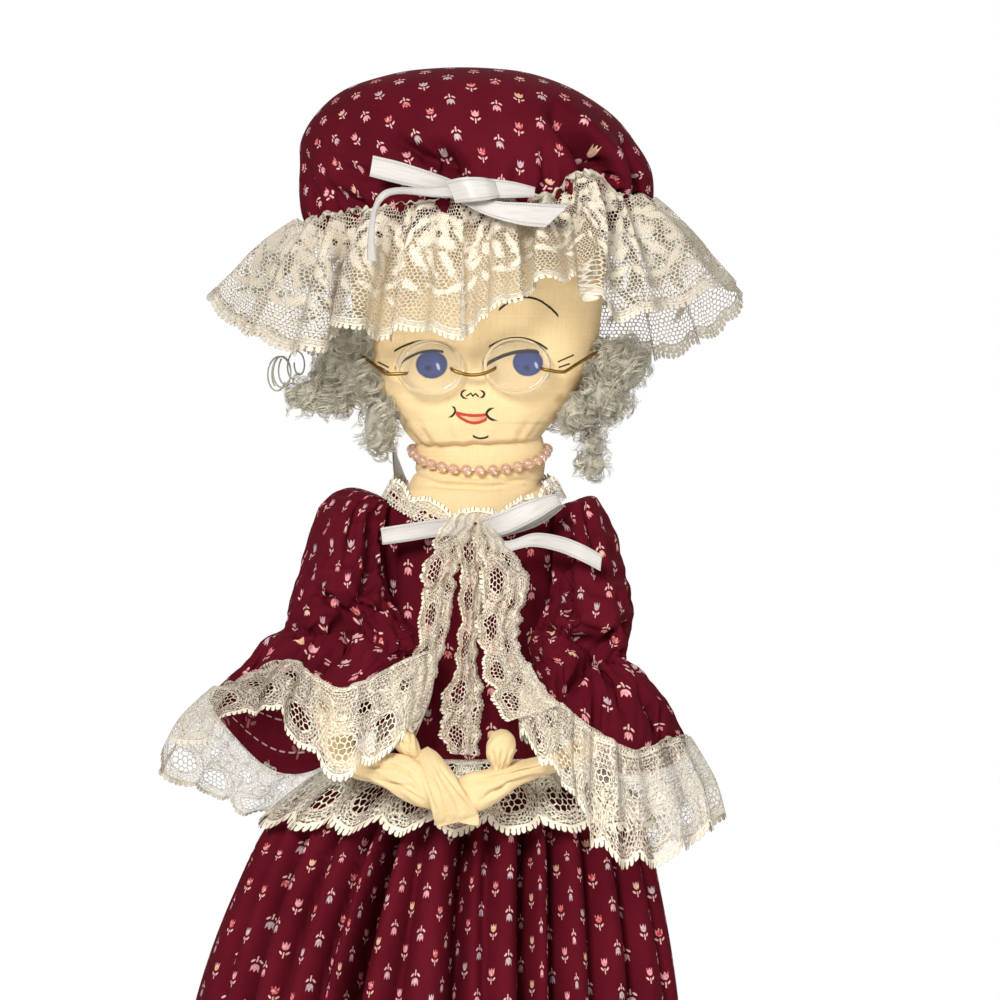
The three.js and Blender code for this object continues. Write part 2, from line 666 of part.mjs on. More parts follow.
// Arms: tapering tubes from the shoulders, flattening to hands that are knotted in front
const handZ = armAxisZ - handDrop;
function mirrored(side, rows) {
  return rows.map(([o, y, z, uo, uy, uz, vo, vy, vz]) => [
    bodyX + side * o, y, z, side * uo, uy, uz, side * vo, vy, vz,
  ]);
}
const shoulderOut = chestHalfWidth + bodiceGrow + clearance;
const elbowY = -24;
const elbowZ = armAxisZ - sleeveLength;
const elbowOut = shoulderOut + 12;
function armRows(side) {
  const reach = side * (handsX - bodyX) + clearance;
  return eased(mirrored(side, [
    [shoulderOut, 0, armAxisZ, 0, 0, armRadius, 0, -armRadius, 0],
    [shoulderOut + 6, -3, armAxisZ - 5, 0.6 * armRadius, 0, 0.8 * armRadius, 0, -armRadius, 0],
    [elbowOut, -14, armAxisZ - 23, armRadius, 0, 0, 0, -0.9 * armRadius, -0.4 * armRadius],
    [elbowOut, elbowY + 0.5, elbowZ, 0.85 * armRadius, 0, 0, 0, -0.62 * armRadius, 0.18 * armRadius],
    [elbowOut - 3, handY + 15, handZ + 25, 6, 0, -2.5, -1, -4.8, 3],
    [elbowOut - 13, handY + 2, handZ + 9, 2.2, 0, -6, 0, -4.5, 0.5],
    [elbowOut - 27, handY, handZ + 2, 1.2, 0, -handHalfHeight, 0, -handHalfDepth, 0],
    [reach, handY, handZ, 0, 0, -handHalfHeight, 0, -handHalfDepth, 0],
  ]), 2);
}
const sleeveRows = (side) => eased(mirrored(side, [
  [shoulderOut, 0, armAxisZ, 0, 0, sleeveNeckRadius, 0, -sleeveNeckRadius, 0],
  [shoulderOut + 6.5, -3, armAxisZ - 3, 0.3 * (sleeveRadius - 2), 0, 0.95 * (sleeveRadius - 2), 0, 2 - sleeveRadius, 0],
  [shoulderOut + 13, -14, armAxisZ - 21, 0.95 * sleeveRadius, 0.25 * sleeveRadius, 0.18 * sleeveRadius,
    -0.22 * sleeveRadius, -0.93 * sleeveRadius, -0.25 * sleeveRadius],
  [elbowOut, elbowY, elbowZ, sleeveGatherRadius, 0, 0, 0, -0.92 * sleeveGatherRadius, -0.38 * sleeveGatherRadius],
]), 2);
const flounceRims = {
  left: [51, -36, -167, 38, 10, -12, -6, -20, 12],
  right: [49, -34, -172, 30, 8, -12, -8, -20, 10],
};
const cuffRims = {
  left: [66, -40, -191, 42, 14, -8, -6, -24, 11],
  right: [60, -40, -196, 31, 8, -14, -10, -24, 8],
};
function sleeveSet(name, side) {
  const rows = sleeveRows(side);
  add(armGroup, `sleeve_${name}`, sleeveOf(
    rows.map((row) => hoop(row, 0, coarse)),
    rows.map((row) => hoop(row, -calicoWall, coarse)),
  ), calico);

  const gather = rows.at(-1);
  const lifted = (rise) => gather.map((p, k) => p + (k === 2 ? rise : 0) + (k === 1 ? 0.35 * rise : 0));
  const bandGrow = -calicoWall - clearance;
  add(armGroup, `sleeve_elastic_${name}`, sleeveOf(
    [3.2, 0.4].map((rise) => hoop(lifted(rise), bandGrow, coarse)),
    [3.2, 0.4].map((rise) => hoop(lifted(rise), bandGrow - elasticWall, coarse)),
  ), rubber);

  const top = lifted(-clearance * 2);
  const [rim] = mirrored(side, [flounceRims[name]]);
  const flare = eased([top, rim.map((p, k) => 0.55 * p + 0.45 * top[k]), rim], 2);
  add(armGroup, `sleeve_flounce_${name}`, sleeveOf(
    flare.map((row, i) => hoop(row, 0, medium, (flounceWave * i) / (flare.length - 1))),
    flare.map((row, i) => hoop(row, -calicoWall, medium, (flounceWave * i) / (flare.length - 1))),
  ), calico);

  const [edge] = mirrored(side, [cuffRims[name]]);
  const away = new THREE.Vector3(edge[0] - rim[0], edge[1] - rim[1], edge[2] - rim[2]).setLength(1.6 * clearance);
  const start = rim.map((p, k) => p + (k < 3 ? away.getComponent(k) : 0));
  const cuff = eased([start, edge], 3);
  add(armGroup, `cuff_lace_${name}`, sleeveOf(
    cuff.map((row) => hoop(row, 0, medium, flounceWave)),
    cuff.map((row) => hoop(row, -laceWall, medium, flounceWave)),
  ), laceCotton);

  const arm = armRows(side);
  add(armGroup, `arm_${name}`, skin(arm.map((row) => hoop(row, 0, 12))), muslin);
  return skin(arm.map((row) => hoop(row, clearance, 12)));
}
const leftKeepOut = sleeveSet("left", -1);
const rightKeepOut = sleeveSet("right", 1);

const thumbZ = handZ + handHalfHeight + 0.7 * thumbHeight;
add(armGroup, "thumb_left", cut(
  ellipsoid(handsX - 13.5, handY, thumbZ, thumbRadius, 0.9 * thumbRadius, thumbHeight, 12), leftKeepOut,
), muslin);
add(armGroup, "thumb_right", cut(
  ellipsoid(handsX + 18, handY, thumbZ, 1.1 * thumbRadius, thumbRadius, thumbHeight, 12), rightKeepOut,
), muslin);

const wrapRow = (x, tilt) => [x, handY, handZ + 0.7 + tilt, 0, 0, -handHalfHeight - 1.3, 0, -handHalfDepth, 0];
const wrapRows = [-1, 0, 1].map((k) => wrapRow(handsX + k * wrapHalfLength * 0.72, 0));
add(armGroup, "hand_knot", sleeveOf(
  wrapRows.map((row) => hoop(row, 1.4 * clearance + wrapWall, coarse)),
  wrapRows.map((row) => hoop(row, 1.4 * clearance, coarse)),
), muslin);

// Skirt: a tube of two gathered panels that holds the bags, drawn in at the mouth
const skirtX = (z) => bodyX - 1 - skirtLean * (1 - Math.exp((z - waistZ) / 100));
const skirtRow = (share, a, b) => {
  const z = skirtTopZ - share * (skirtTopZ - mouthZ);
  return [z, skirtX(z), 0, a, b];
};
const waistbandRise = waistbandHeight / 2;
const skirtTopZ = waistZ - waistbandRise - clearance;
const skirtRows = eased([
  skirtRow(0, skirtTopHalfWidth, skirtTopHalfDepth),
  skirtRow(0.022, 0.5 * skirtHalfWidth, 0.54 * skirtHalfDepth),
  skirtRow(0.05, 0.63 * skirtHalfWidth, 0.63 * skirtHalfDepth),
  skirtRow(0.11, 0.72 * skirtHalfWidth, 0.71 * skirtHalfDepth),
  skirtRow(0.21, 0.8 * skirtHalfWidth, 0.79 * skirtHalfDepth),
  skirtRow(0.4, 0.93 * skirtHalfWidth, 0.92 * skirtHalfDepth),
  skirtRow(0.6, skirtHalfWidth, skirtHalfDepth),
  skirtRow(0.8, 0.99 * skirtHalfWidth, skirtHalfDepth),
  skirtRow(0.92, 0.84 * skirtHalfWidth, 0.9 * skirtHalfDepth),
  skirtRow(0.975, 0.57 * skirtHalfWidth, 0.72 * skirtHalfDepth),
  skirtRow(1, mouthHalfWidth, mouthHalfDepth),
], 1);
const skirtFold = (turn, z) => {
  const fromTop = Math.min(1, Math.max(0, (skirtTopZ - z) / 45));
  const fromMouth = Math.min(1, Math.max(0, (z - mouthZ) / 45));
  return foldDepth * Math.cos(foldCount * turn) * fromTop * fromMouth;
};
function skirtGrid(start, grow) {
  const columns = 2 * foldCount;
  const gap = 0.006;
  return skirtRows.map((row) => Array.from({ length: columns + 1 }, (_, j) => {
    const turn = start + gap + ((Math.PI - 2 * gap) * j) / columns;
    return ovalPoint(row, turn, grow + skirtFold(turn, row[0]));
  }));
}
const slitZ = skirtTopZ - slitTopDrop - slitHalfLength;
const slitOutline = new THREE.Shape().absellipse(0, 0, slitHalfWidth, slitHalfLength, 0, fullTurn);
const slitTool = new THREE.ExtrudeGeometry(slitOutline, { depth: 90, bevelEnabled: false, curveSegments: 10 })
  .rotateX(-Math.PI / 2)
  .rotateY(Math.PI)
  .translate(skirtX(slitZ), 5, slitZ);
add(skirtGroup, "skirt_front", panel(skirtGrid(Math.PI, 0), skirtGrid(Math.PI, -calicoWall)), calico);
add(skirtGroup, "skirt_back", cut(panel(skirtGrid(0, 0), skirtGrid(0, -calicoWall)), slitTool), calico);

const bandRow = (rise) => [
  waistZ + rise, bodyX, 0, waistHalfWidth + jointClearance, waistHalfDepth + 3,
];
const bandEnds = [waistbandRise, -waistbandRise];
add(skirtGroup, "skirt_waistband", sleeveOf(
  bandEnds.map((rise) => oval(bandRow(rise), waistbandWall, medium)),
  bandEnds.map((rise) => oval(bandRow(rise), 0, medium)),
), calico);

// Peplum lace over the top of the skirt
const peplumTop = skirtTopZ - 1.2;
const peplumRows = rowsBetween(skirtRows, peplumTop - peplumLength, peplumTop);
const peplumGrow = (z) => 3 * clearance + skirtFold(0, z);
add(skirtGroup, "peplum_lace", sleeveOf(
  peplumRows.map((row) => oval(row, peplumGrow(row[0]) + laceWall, medium)),
  peplumRows.map((row) => oval(row, peplumGrow(row[0]), medium)),
), laceCotton);

// Elastic inside the mouth, and the ruffle below it
const elasticRows = [hemElasticHeight + 0.6, 0.6].map((rise) => [
  mouthZ + rise, skirtX(mouthZ), 0, mouthHalfWidth, mouthHalfDepth,
]);
const hemGrow = -calicoWall - clearance;
add(skirtGroup, "hem_elastic", sleeveOf(
  elasticRows.map((row) => oval(row, hemGrow, medium)),
  elasticRows.map((row) => oval(row, hemGrow - elasticWall, medium)),
), rubber);

const hemTop = mouthZ - clearance;
const hemRows = [0, 0.5, 1].map((share) => [
  hemTop - share * ruffleLength, skirtX(mouthZ), 0,
  mouthHalfWidth + share * (ruffleHalfWidth - mouthHalfWidth),
  mouthHalfDepth + share * (ruffleHalfDepth - mouthHalfDepth),
]);
const hemFold = (turn, z) => 0.12 * (hemTop - z) * Math.cos(14 * turn);
add(skirtGroup, "hem_ruffle", sleeveOf(
  hemRows.map((row) => oval(row, 0, 42, hemFold)),
  hemRows.map((row) => oval(row, -calicoWall, 42, hemFold)),
), calico);

export default doll;
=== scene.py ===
"""Cloth bag holder doll: looks of every piece, built round the packed frame."""
import math

import bmesh
import bpy
import numpy as np
from bpy.props import FloatProperty, FloatVectorProperty, IntProperty, PointerProperty
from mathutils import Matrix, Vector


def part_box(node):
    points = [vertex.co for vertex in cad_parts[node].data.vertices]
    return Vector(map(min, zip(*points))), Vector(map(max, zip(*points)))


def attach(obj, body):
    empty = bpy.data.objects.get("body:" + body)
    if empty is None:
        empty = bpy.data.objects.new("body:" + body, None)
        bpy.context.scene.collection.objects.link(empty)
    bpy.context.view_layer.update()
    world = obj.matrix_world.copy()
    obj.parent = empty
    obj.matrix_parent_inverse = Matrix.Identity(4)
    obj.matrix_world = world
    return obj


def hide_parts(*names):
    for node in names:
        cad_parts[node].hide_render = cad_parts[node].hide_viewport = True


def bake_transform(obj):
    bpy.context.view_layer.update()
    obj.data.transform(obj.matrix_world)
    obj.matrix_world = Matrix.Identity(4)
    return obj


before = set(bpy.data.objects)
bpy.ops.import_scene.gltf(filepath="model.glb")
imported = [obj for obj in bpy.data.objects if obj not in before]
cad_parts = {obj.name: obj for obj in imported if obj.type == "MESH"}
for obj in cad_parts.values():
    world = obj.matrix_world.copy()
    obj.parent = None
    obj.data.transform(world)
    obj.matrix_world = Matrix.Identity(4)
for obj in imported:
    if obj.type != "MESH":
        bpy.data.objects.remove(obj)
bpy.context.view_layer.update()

bl_info = {
    "name": "Cloth Bag Holder Doll",
    "version": (1, 0, 0),
    "blender": (4, 5, 0),
    "location": "View3D > Sidebar > Doll",
    "description": "Builds a hanging cloth doll with a lace cap, a calico dress and a bag for a skirt",
    "category": "Add Mesh",
}

MM = 0.001
TURN = 2 * math.pi
MIDDLE = -0.0535  # y of the doll's middle plane in metres; the hanging loop is behind it, at 0
STEP = 0.35  # millimetres per square of the doll's front drawing
ZERO = (476.0, 222.0)  # square of that drawing at the top of the hanging loop
CLOTH = "cloth"  # name of the UV map that holds flat cloth coordinates in metres
WELD = 1e-6  # points of a mesh that are closer than this are joined, in metres
TINY = 1e-9  # takes the place of a length of 0 in a division
CAP_REPEAT = 0.031  # repeat of the cap lace along its length, in metres
TRIM_REPEAT = 0.0175  # repeat of all other lace along its length, in metres
BOW_WALL = 0.00035  # thickness of the bows' ribbon, in metres
LOOP_WALL = 0.0005  # thickness of the hanging loop's ribbon, in metres
CAP_TILT = 0.069  # rise of the cap's band for each millimetre to the right
SKIRT_TOP = -192  # height of the skirt's waist, in millimetres
SKIRT_LONG = 392  # length of the skirt from its waist to its mouth, in millimetres
SLIT_TURN = 96  # place of the filling slit round the skirt, in degrees
CALICO_PITCH = 0.00032  # distance between threads of the calico, in metres
MUSLIN_PITCH = 0.00046  # distance between threads of the muslin, in metres
ARM_BEND = ("body", "arms", (0, -100), (0, -150))  # bodies and places in mm given for the arms and sleeves, which are baked in place and do not bend


# Settings


def length(name, default, description):
    """A length that a user may change, in metres."""
    return FloatProperty(name=name, default=default, description=description, unit="LENGTH", precision=4)


def hexed(value):
    """A colour for a shader from its hexadecimal screen value."""
    screen = [int(value[i:i + 2], 16) / 255 for i in (0, 2, 4)]
    return (*[c / 12.92 if c < 0.04045 else ((c + 0.055) / 1.055) ** 2.4 for c in screen], 1.0)


def tint(name, default, description):
    """A colour that a user may change, written as its hexadecimal screen value."""
    return FloatVectorProperty(
        name=name, default=hexed(default), description=description, subtype="COLOR", size=4, min=0, max=1)


class DollSizes(bpy.types.PropertyGroup):
    """Sizes of the cloth, lace, ribbon and hair."""
    cap_lace: length("Cap lace", 0.050, "Width of the lace ruffle of the cap")
    cuff_lace: length("Cuff lace", 0.032, "Width of the lace at the sleeve mouths")
    peplum_lace: length("Peplum lace", 0.026, "Width of the lace below the waist")
    collar_lace: length("Collar lace", 0.012, "Width of the lace at the neckline")
    ribbon: length("Ribbon", 0.0068, "Width of the satin ribbon")
    bead: length("Bead", 0.0019, "Radius of a necklace bead")
    wire: length("Wire", 0.0006, "Radius of the spectacle wire")
    column: length("Print column", 0.0076, "Distance between columns of printed flowers")
    row: length("Print row", 0.0158, "Distance between flowers of one column")
    cloth_wall: length("Calico thickness", 0.0006, "Thickness of the printed cloth")
    locks: IntProperty(name="Locks", default=230, min=10, max=240,
                       description="Number of curled locks in each bunch of hair")


class DollColours(bpy.types.PropertyGroup):
    """Colours of the materials."""
    calico: tint("Calico", "611320", "Ground of the printed cotton")
    muslin: tint("Muslin", "F2D5A1", "Unbleached muslin of head, body and hands")
    lace: tint("Lace", "ECE0CA", "Cotton lace")
    satin: tint("Satin", "CBC6BF", "Ribbon of the two bows")
    # The hanging loop is the same cream ribbon as the bows, painted grey-olive as painted shade, for the
    # shadow behind the head.
    loop: tint("Loop", "B4AA8C", "Ribbon of the hanging loop")
    hair: tint("Hair", "B4AD9A", "Mohair")
    gold: tint("Gold", "8C6A2C", "Spectacle wire")
    pearl: tint("Pearl", "FFD9C4", "Necklace beads")
    iris: tint("Iris", "3F4C88", "Drawn irises")
    ink: tint("Ink", "241B10", "Pen lines of the face")
    lips: tint("Lips", "C04632", "Drawn lips")


def sizes():
    return bpy.context.scene.doll_sizes


def colours():
    return bpy.context.scene.doll_colours


# Shapes


def drawn(points):
    """Places on the front drawing, (across, down, depth in mm behind the middle plane), in millimetres."""
    p = np.asarray(points, float)
    return np.stack([(p[..., 0] - ZERO[0]) * STEP, p[..., 2], (ZERO[1] - p[..., 1]) * STEP], -1)


def spline(points, count, closed=False):
    """Cubic through the points whose slope at each is half the chord between its neighbours."""
    p = np.asarray(points, float)
    spans = len(p) if closed else len(p) - 1
    t = np.linspace(0, spans, count, endpoint=not closed)
    i = np.minimum(t.astype(int), spans - 1)
    f = (t - i).reshape(-1, *[1] * (p.ndim - 1))
    a, b, c, d = (p[(i + k) % len(p)] if closed else p[np.clip(i + k, 0, len(p) - 1)] for k in (-1, 0, 1,
                                                                                                2))
    return b + 0.5 * f * (c - a + f * (2 * a - 5 * b + 4 * c - d + f * (3 * b - a - 3 * c + d)))


def angles(count, start=0.0):
    """Equal steps of one turn."""
    return start + np.arange(count) * TURN / count


def spread(rows, columns):
    """Turns of a closed grid's columns and shares of the way down its rows, shaped to be used together."""
    return angles(columns)[None, :], np.linspace(0, 1, rows)[:, None]


def stacked(*parts):
    """Coordinates spread to one shape and put together as points."""
    return np.stack(np.broadcast_arrays(*parts), -1)


def unit(vectors):
    """The vectors scaled to length one."""
    return vectors / np.maximum(np.linalg.norm(vectors, axis=-1, keepdims=True), TINY)


def gaps(points, axis):
    """Distances between neighbouring points along an axis."""
    return np.linalg.norm(np.diff(points, axis=axis), axis=-1)


def running(lengths):
    """Length reached after each part, from 0, in metres."""
    return np.concatenate([[0], np.cumsum(lengths)]) * MM


def bell(away, half, power=2.0):
    """1 at no distance, and less the further away: one over e at half."""
    return np.exp(-(np.abs(away) / half) ** power)


def turn_from(angle, place):
    """Turn from a place to an angle, the shorter way round."""
    return (angle - place + math.pi) % TURN - math.pi


def ball(rise, turn):
    """Points of a ball of radius 1 at angles from its pole and turns about its axis."""
    return stacked(np.sin(rise) * np.cos(turn), np.sin(rise) * np.sin(turn), np.cos(rise))


def rounded(rows, columns):
    """Closed rows of points with so many columns, by a closed cubic through each row."""
    return np.swapaxes(spline(np.swapaxes(rows, 0, 1), columns, closed=True), 0, 1)


def wander(angle, seed, low, high):
    """Smooth random wave of one turn: a sum of sines of low to high whole waves with random phases."""
    rng = np.random.default_rng(seed)
    waves = np.arange(low, high + 1)
    phase, weight = rng.uniform(0, TURN, waves.size), rng.uniform(0.4, 1, waves.size)
    return (weight * np.sin(np.asarray(angle)[..., None] * waves + phase)).sum(-1) / math.sqrt(waves.size)


def ovals(stations, rows, turns, power=2.0):
    """Tube of ovals from top to bottom: each station is (height, x, y, half width, half depth), and a point
    is the centre plus the half sizes times the cosine and sine of its turn; more power makes it squarer."""
    s = spline(stations, rows)[:, None, :]
    t = angles(turns)
    c, v = (np.sign(f) * np.abs(f) ** (2 / power) for f in (np.cos(t), np.sin(t)))
    return stacked(s[..., 1] + s[..., 3] * c, s[..., 2] + s[..., 4] * v, s[..., 0])


def outward(grid, closed):
    """Unit normals: the slope down the rows crossed with the slope round the columns."""
    down = np.gradient(grid, axis=0)
    across = (np.roll(grid, -1, 1) - np.roll(grid, 1, 1)) if closed else np.gradient(grid, axis=1)
    return unit(np.cross(down, across))


def pushed(grid, amount, closed=True):
    """The grid moved along its normals by an amount for each point."""
    return grid + outward(grid, closed) * np.asarray(amount)[..., None]


def creased(grid, strokes):
    """Creases drawn on the front of a closed grid, each a depth, a half width and a line of drawing squares.
    Front points near the line sink along their normals by the depth, times a bell of their distance and
    a fade at both ends; a depth below 0 makes a ridge."""
    face = np.clip(0.3 - 2 * outward(grid, True)[..., 1], 0, 1)
    sink = np.zeros(grid.shape[:2])
    for depth, half, *line in strokes:
        path = drawn([(*spot, 0) for spot in line])[:, [0, 2]]
        run = np.diff(path, axis=0)
        away = grid[:, :, None][..., [0, 2]] - path[:-1]
        along = np.clip((away * run).sum(-1) / (run ** 2).sum(-1), 0, 1)
        far = np.linalg.norm(away - along[..., None] * run, axis=-1)
        part = far.argmin(-1)
        share = (part + np.take_along_axis(along, part[..., None], -1)[..., 0]) / len(run)
        fade = np.sin(np.pi * np.clip(share, 0.03, 0.97)) ** 0.4
        sink -= depth * bell(far.min(-1), half) * fade
    return pushed(grid, sink * face)


def flat_cloth(grid, closed, width=None, repeat=None):
    """Flat cloth coordinates in metres: mean length along the columns and down the rows;
    width stretches the second to a cut width, repeat the first to whole repeats of a pattern."""
    ring = np.concatenate([grid, grid[:, :1]], 1) if closed else grid
    u, v = running(gaps(ring, 1).mean(0)), running(gaps(grid, 0).mean(1))
    if width:
        v = v * width / v[-1]
    if repeat:
        u = u * max(1, round(u[-1] / repeat)) * repeat / u[-1]
    return stacked(u[None, :], v[:, None])


def tubes(paths, radius, sides, capped=True):
    """Round tubes along a batch of paths: at each point a ring of the radius, square to the path;
    capped tubes shrink to a point at both ends."""
    paths = np.asarray(paths, float)
    ahead = unit(np.gradient(paths, axis=-2))
    reference = np.where(np.abs(ahead[..., 2:3]) < 0.9, [0.0, 0.0, 1.0], [1.0, 0.0, 0.0])
    side = unit(np.cross(ahead, reference))
    up = np.cross(side, ahead)
    a = angles(sides)[:, None]
    ring = np.cos(a) * side[..., None, :] + np.sin(a) * up[..., None, :]
    radii = np.array(np.broadcast_to(radius, paths.shape[:-1]), float)
    if capped:
        radii[..., [0, -1]] = 0
    return paths[..., None, :] + ring * radii[..., None, None]


def limb(stations, rows, turns):
    """Stuffed limb: each station is (place, half height square to the path in the front view, half depth)."""
    s = spline(stations, rows)
    centre, tall, deep = s[:, :3], s[:, 3], s[:, 4]
    ahead = np.gradient(centre, axis=0)
    side = unit(np.stack([ahead[:, 2], 0 * tall, -ahead[:, 0]], -1))
    t = angles(turns)[:, None]
    depth = np.array([0.0, 1.0, 0.0])
    return (centre[:, None] + np.cos(t) * (side * tall[:, None])[:, None]
            - np.sin(t) * (depth * deep[:, None])[:, None])


def ribbon_strip(edges):
    """Ribbon between two edge lines: points run straight from edge to edge, with a slight cup."""
    rows, columns, cup = 60, 7, 0.4
    lines = spline(edges, rows)
    share = np.linspace(0, 1, columns)[:, None]
    grid = lines[:, :1] * (1 - share) + lines[:, 1:] * share
    return pushed(grid, cup * np.sin(np.pi * share[:, 0])[None, :], closed=False)


# Meshes


def mesh_of(name, parts, weld):
    """A mesh of quads from batches of grids in millimetres about the middle plane, with flat cloth maps."""
    start, places, corners, maps = 0, [], [], []
    for grid, closed, cloth in parts:
        batch = grid.reshape(-1, *grid.shape[-3:])
        count, rows, columns = batch.shape[:3]
        first = np.arange(count)[:, None, None] * rows * columns + start
        above = first + np.arange(rows - 1)[None, :, None] * columns
        below = above + columns
        left = np.arange(columns if closed else columns - 1)[None, None, :]
        right = (left + 1) % columns
        quads = [above + left, below + left, below + right, above + right]
        corners.append(np.stack(quads, -1).reshape(-1))
        places.append(batch.reshape(-1, 3))
        flat = np.broadcast_to(cloth, (count, *cloth.shape[-3:]))
        quads = [flat[:, :-1, :-1], flat[:, 1:, :-1], flat[:, 1:, 1:], flat[:, :-1, 1:]]
        maps.append(np.stack(quads, -2).reshape(-1, 2))
        start += count * rows * columns
    points = np.concatenate(places) * MM + (0, MIDDLE, 0)
    loops = np.concatenate(corners)
    mesh = bpy.data.meshes.new(name)
    mesh.vertices.add(len(points))
    mesh.vertices.foreach_set("co", points.astype(np.float32).ravel())
    mesh.loops.add(len(loops))
    mesh.loops.foreach_set("vertex_index", loops.astype(np.int32))
    mesh.polygons.add(len(loops) // 4)
    mesh.polygons.foreach_set("loop_start", np.arange(0, len(loops), 4, dtype=np.int32))
    mesh.update(calc_edges=True)
    mesh.polygons.foreach_set("use_smooth", np.ones(len(loops) // 4, bool))
    layer = mesh.uv_layers.new(name=CLOTH)
    layer.data.foreach_set("uv", np.concatenate(maps).astype(np.float32).ravel())
    if weld:
        joined = bmesh.new()
        joined.from_mesh(mesh)
        bmesh.ops.remove_doubles(joined, verts=joined.verts, dist=WELD)
        joined.to_mesh(mesh)
        joined.free()
    return mesh


def piece(name, parts, look, body, nodes, wall=0.0, weld=False):
    """One object made of grids. It rides on a body, or bends between two from one place of the front view
    to another, takes its finish from a slot of the record and stands for CAD nodes."""
    mesh = mesh_of(name, parts, weld)
    mesh.materials.append(look)
    made = bpy.data.objects.new(name, mesh)
    bpy.context.scene.collection.objects.link(made)
    if wall:
        shell = made.modifiers.new("Wall", "SOLIDIFY")
        shell.thickness, shell.offset = wall, -1
        if look == calico_look(False):
            mesh.materials.append(calico_look(True))
            shell.material_offset = 1
    if isinstance(body, str):
        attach(made, body)
    else:
        upper, lower, start, end = body
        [(x * MM, MIDDLE, z * MM) for x, z in (start, end)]
        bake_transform(made)
    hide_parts(*nodes)
    return made


def refined(grid, times):
    """A closed grid with so many times its rows and columns, by a cubic through its points."""
    return rounded(spline(grid, (len(grid) - 1) * times + 1), grid.shape[1] * times)


def settled(grid, rest, free, stuffing, steps, reach):
    """Cloth that is let settle: the threads of a closed grid want the lengths of a rest grid, so they buckle
    into folds. In each step a point keeps part of its last move and the stuffing draws it back a little to
    its start; then every thread, diagonal and bend pulls or pushes its two ends towards its rest length.
    Points move by their share of freedom, and none ends further from its start than the reach.
    A pair is (rows down, columns across, firmness, 1 for a bend), and a bend only pushes."""
    pairs = ((0, 1, 0.14, 0.0), (1, 0, 0.14, 0.0), (1, 1, 0.05, 0.0), (1, -1, 0.05, 0.0), (0, 2, 0.06, 1.0),
             (2, 0, 0.06, 1.0), (0, 4, 0.03, 1.0), (4, 0, 0.03, 1.0))
    carry, slack = 0.8, 0.12
    rows = len(grid)

    def span(points, down, across):
        return np.roll(points, -across, 1)[down:] - points[:rows - down]
    wanted = [np.linalg.norm(span(rest, d, a), axis=-1, keepdims=True) for d, a, _, _ in pairs]
    free = free[..., None]
    place, last = grid.copy(), grid.copy()
    for _ in range(steps):
        place, last = place + free * (carry * (place - last) + stuffing * (grid - place)), place
        pull = np.zeros_like(place)
        for (down, across, firm, bend), want in zip(pairs, wanted):
            gap = span(place, down, across)
            size = np.maximum(np.linalg.norm(gap, axis=-1, keepdims=True), 1e-6)
            short = 1 - want * (1 - slack * bend) / size
            move = firm * gap * (np.minimum(short, 0) if bend else short)
            pull[:rows - down] += move
            pull[down:] -= np.roll(move, across, 1)
        place = place + free * pull
        away = place - grid
        far = np.linalg.norm(away, axis=-1, keepdims=True)
        place = grid + away * np.minimum(1, reach / np.maximum(far, TINY))
    return place


# Shader arithmetic


class Flow:
    """A number that flows through a node tree: arithmetic on it adds Math nodes to the tree."""

    def __init__(self, tree, socket):
        self.tree, self.socket = tree, socket

    def math(self, operation, *others, clamp=False):
        node = self.tree.nodes.new("ShaderNodeMath")
        node.operation, node.use_clamp = operation, clamp
        for entry, value in zip(node.inputs, (self, *others)):
            feed(value, entry)
        return Flow(self.tree, node.outputs[0])

    def __add__(self, other):
        return self.math("ADD", other)

    def __sub__(self, other):
        return self.math("SUBTRACT", other)

    def __rsub__(self, other):
        return self.math("MULTIPLY_ADD", -1.0, other)

    def __mul__(self, other):
        return self.math("MULTIPLY", other)

    def __truediv__(self, other):
        return self.math("DIVIDE", other)

    __radd__, __rmul__ = __add__, __mul__

    def abs(self):
        return self.math("ABSOLUTE")

    def least(self, other):
        return self.math("MINIMUM", other)

    def most(self, other):
        return self.math("MAXIMUM", other)

    def held(self, scale=1.0, shift=0.0):
        """The number times a scale plus a shift, kept from 0 to 1."""
        return self.math("MULTIPLY_ADD", scale, shift, clamp=True)

    def within(self, edge, soft):
        """1 where the number is below the edge and 0 above it, over a soft step."""
        return (edge - self).held(1 / soft, 0.5)

    def near(self, level, half, soft):
        """1 where the number is no further than half from a level, over a soft step."""
        return (self - level).abs().within(half, soft)


def feed(value, entry):
    """Links a flow or socket to an input, or sets the input's own value."""
    if isinstance(value, Flow):
        value.tree.links.new(value.socket, entry)
    elif isinstance(value, bpy.types.NodeSocket):
        value.id_data.links.new(value, entry)
    else:
        entry.default_value = value


def hypot(x, y):
    return (x * x + y * y).math("SQRT")


def parts_of(tree, vector, scale):
    """The components of a vector, each times the scale."""
    node = tree.nodes.new("ShaderNodeSeparateXYZ")
    feed(vector, node.inputs[0])
    return [Flow(tree, socket) * scale for socket in node.outputs]


def vector_of(tree, x, y, z=0.0):
    node = tree.nodes.new("ShaderNodeCombineXYZ")
    for value, entry in zip((x, y, z), node.inputs):
        feed(value, entry)
    return node.outputs[0]


def noise(tree, vector, scale, detail=2.0):
    node = tree.nodes.new("ShaderNodeTexNoise")
    feed(vector, node.inputs["Vector"])
    node.inputs["Scale"].default_value, node.inputs["Detail"].default_value = scale, detail
    return Flow(tree, node.outputs["Fac"])


def mixed(tree, share, first, second):
    """The first colour where the share is 0, the second where it is 1."""
    node = tree.nodes.new("ShaderNodeMix")
    node.data_type = "RGBA"
    feed(share, node.inputs[0])
    feed(first, node.inputs[6])
    feed(second, node.inputs[7])
    return node.outputs[2]


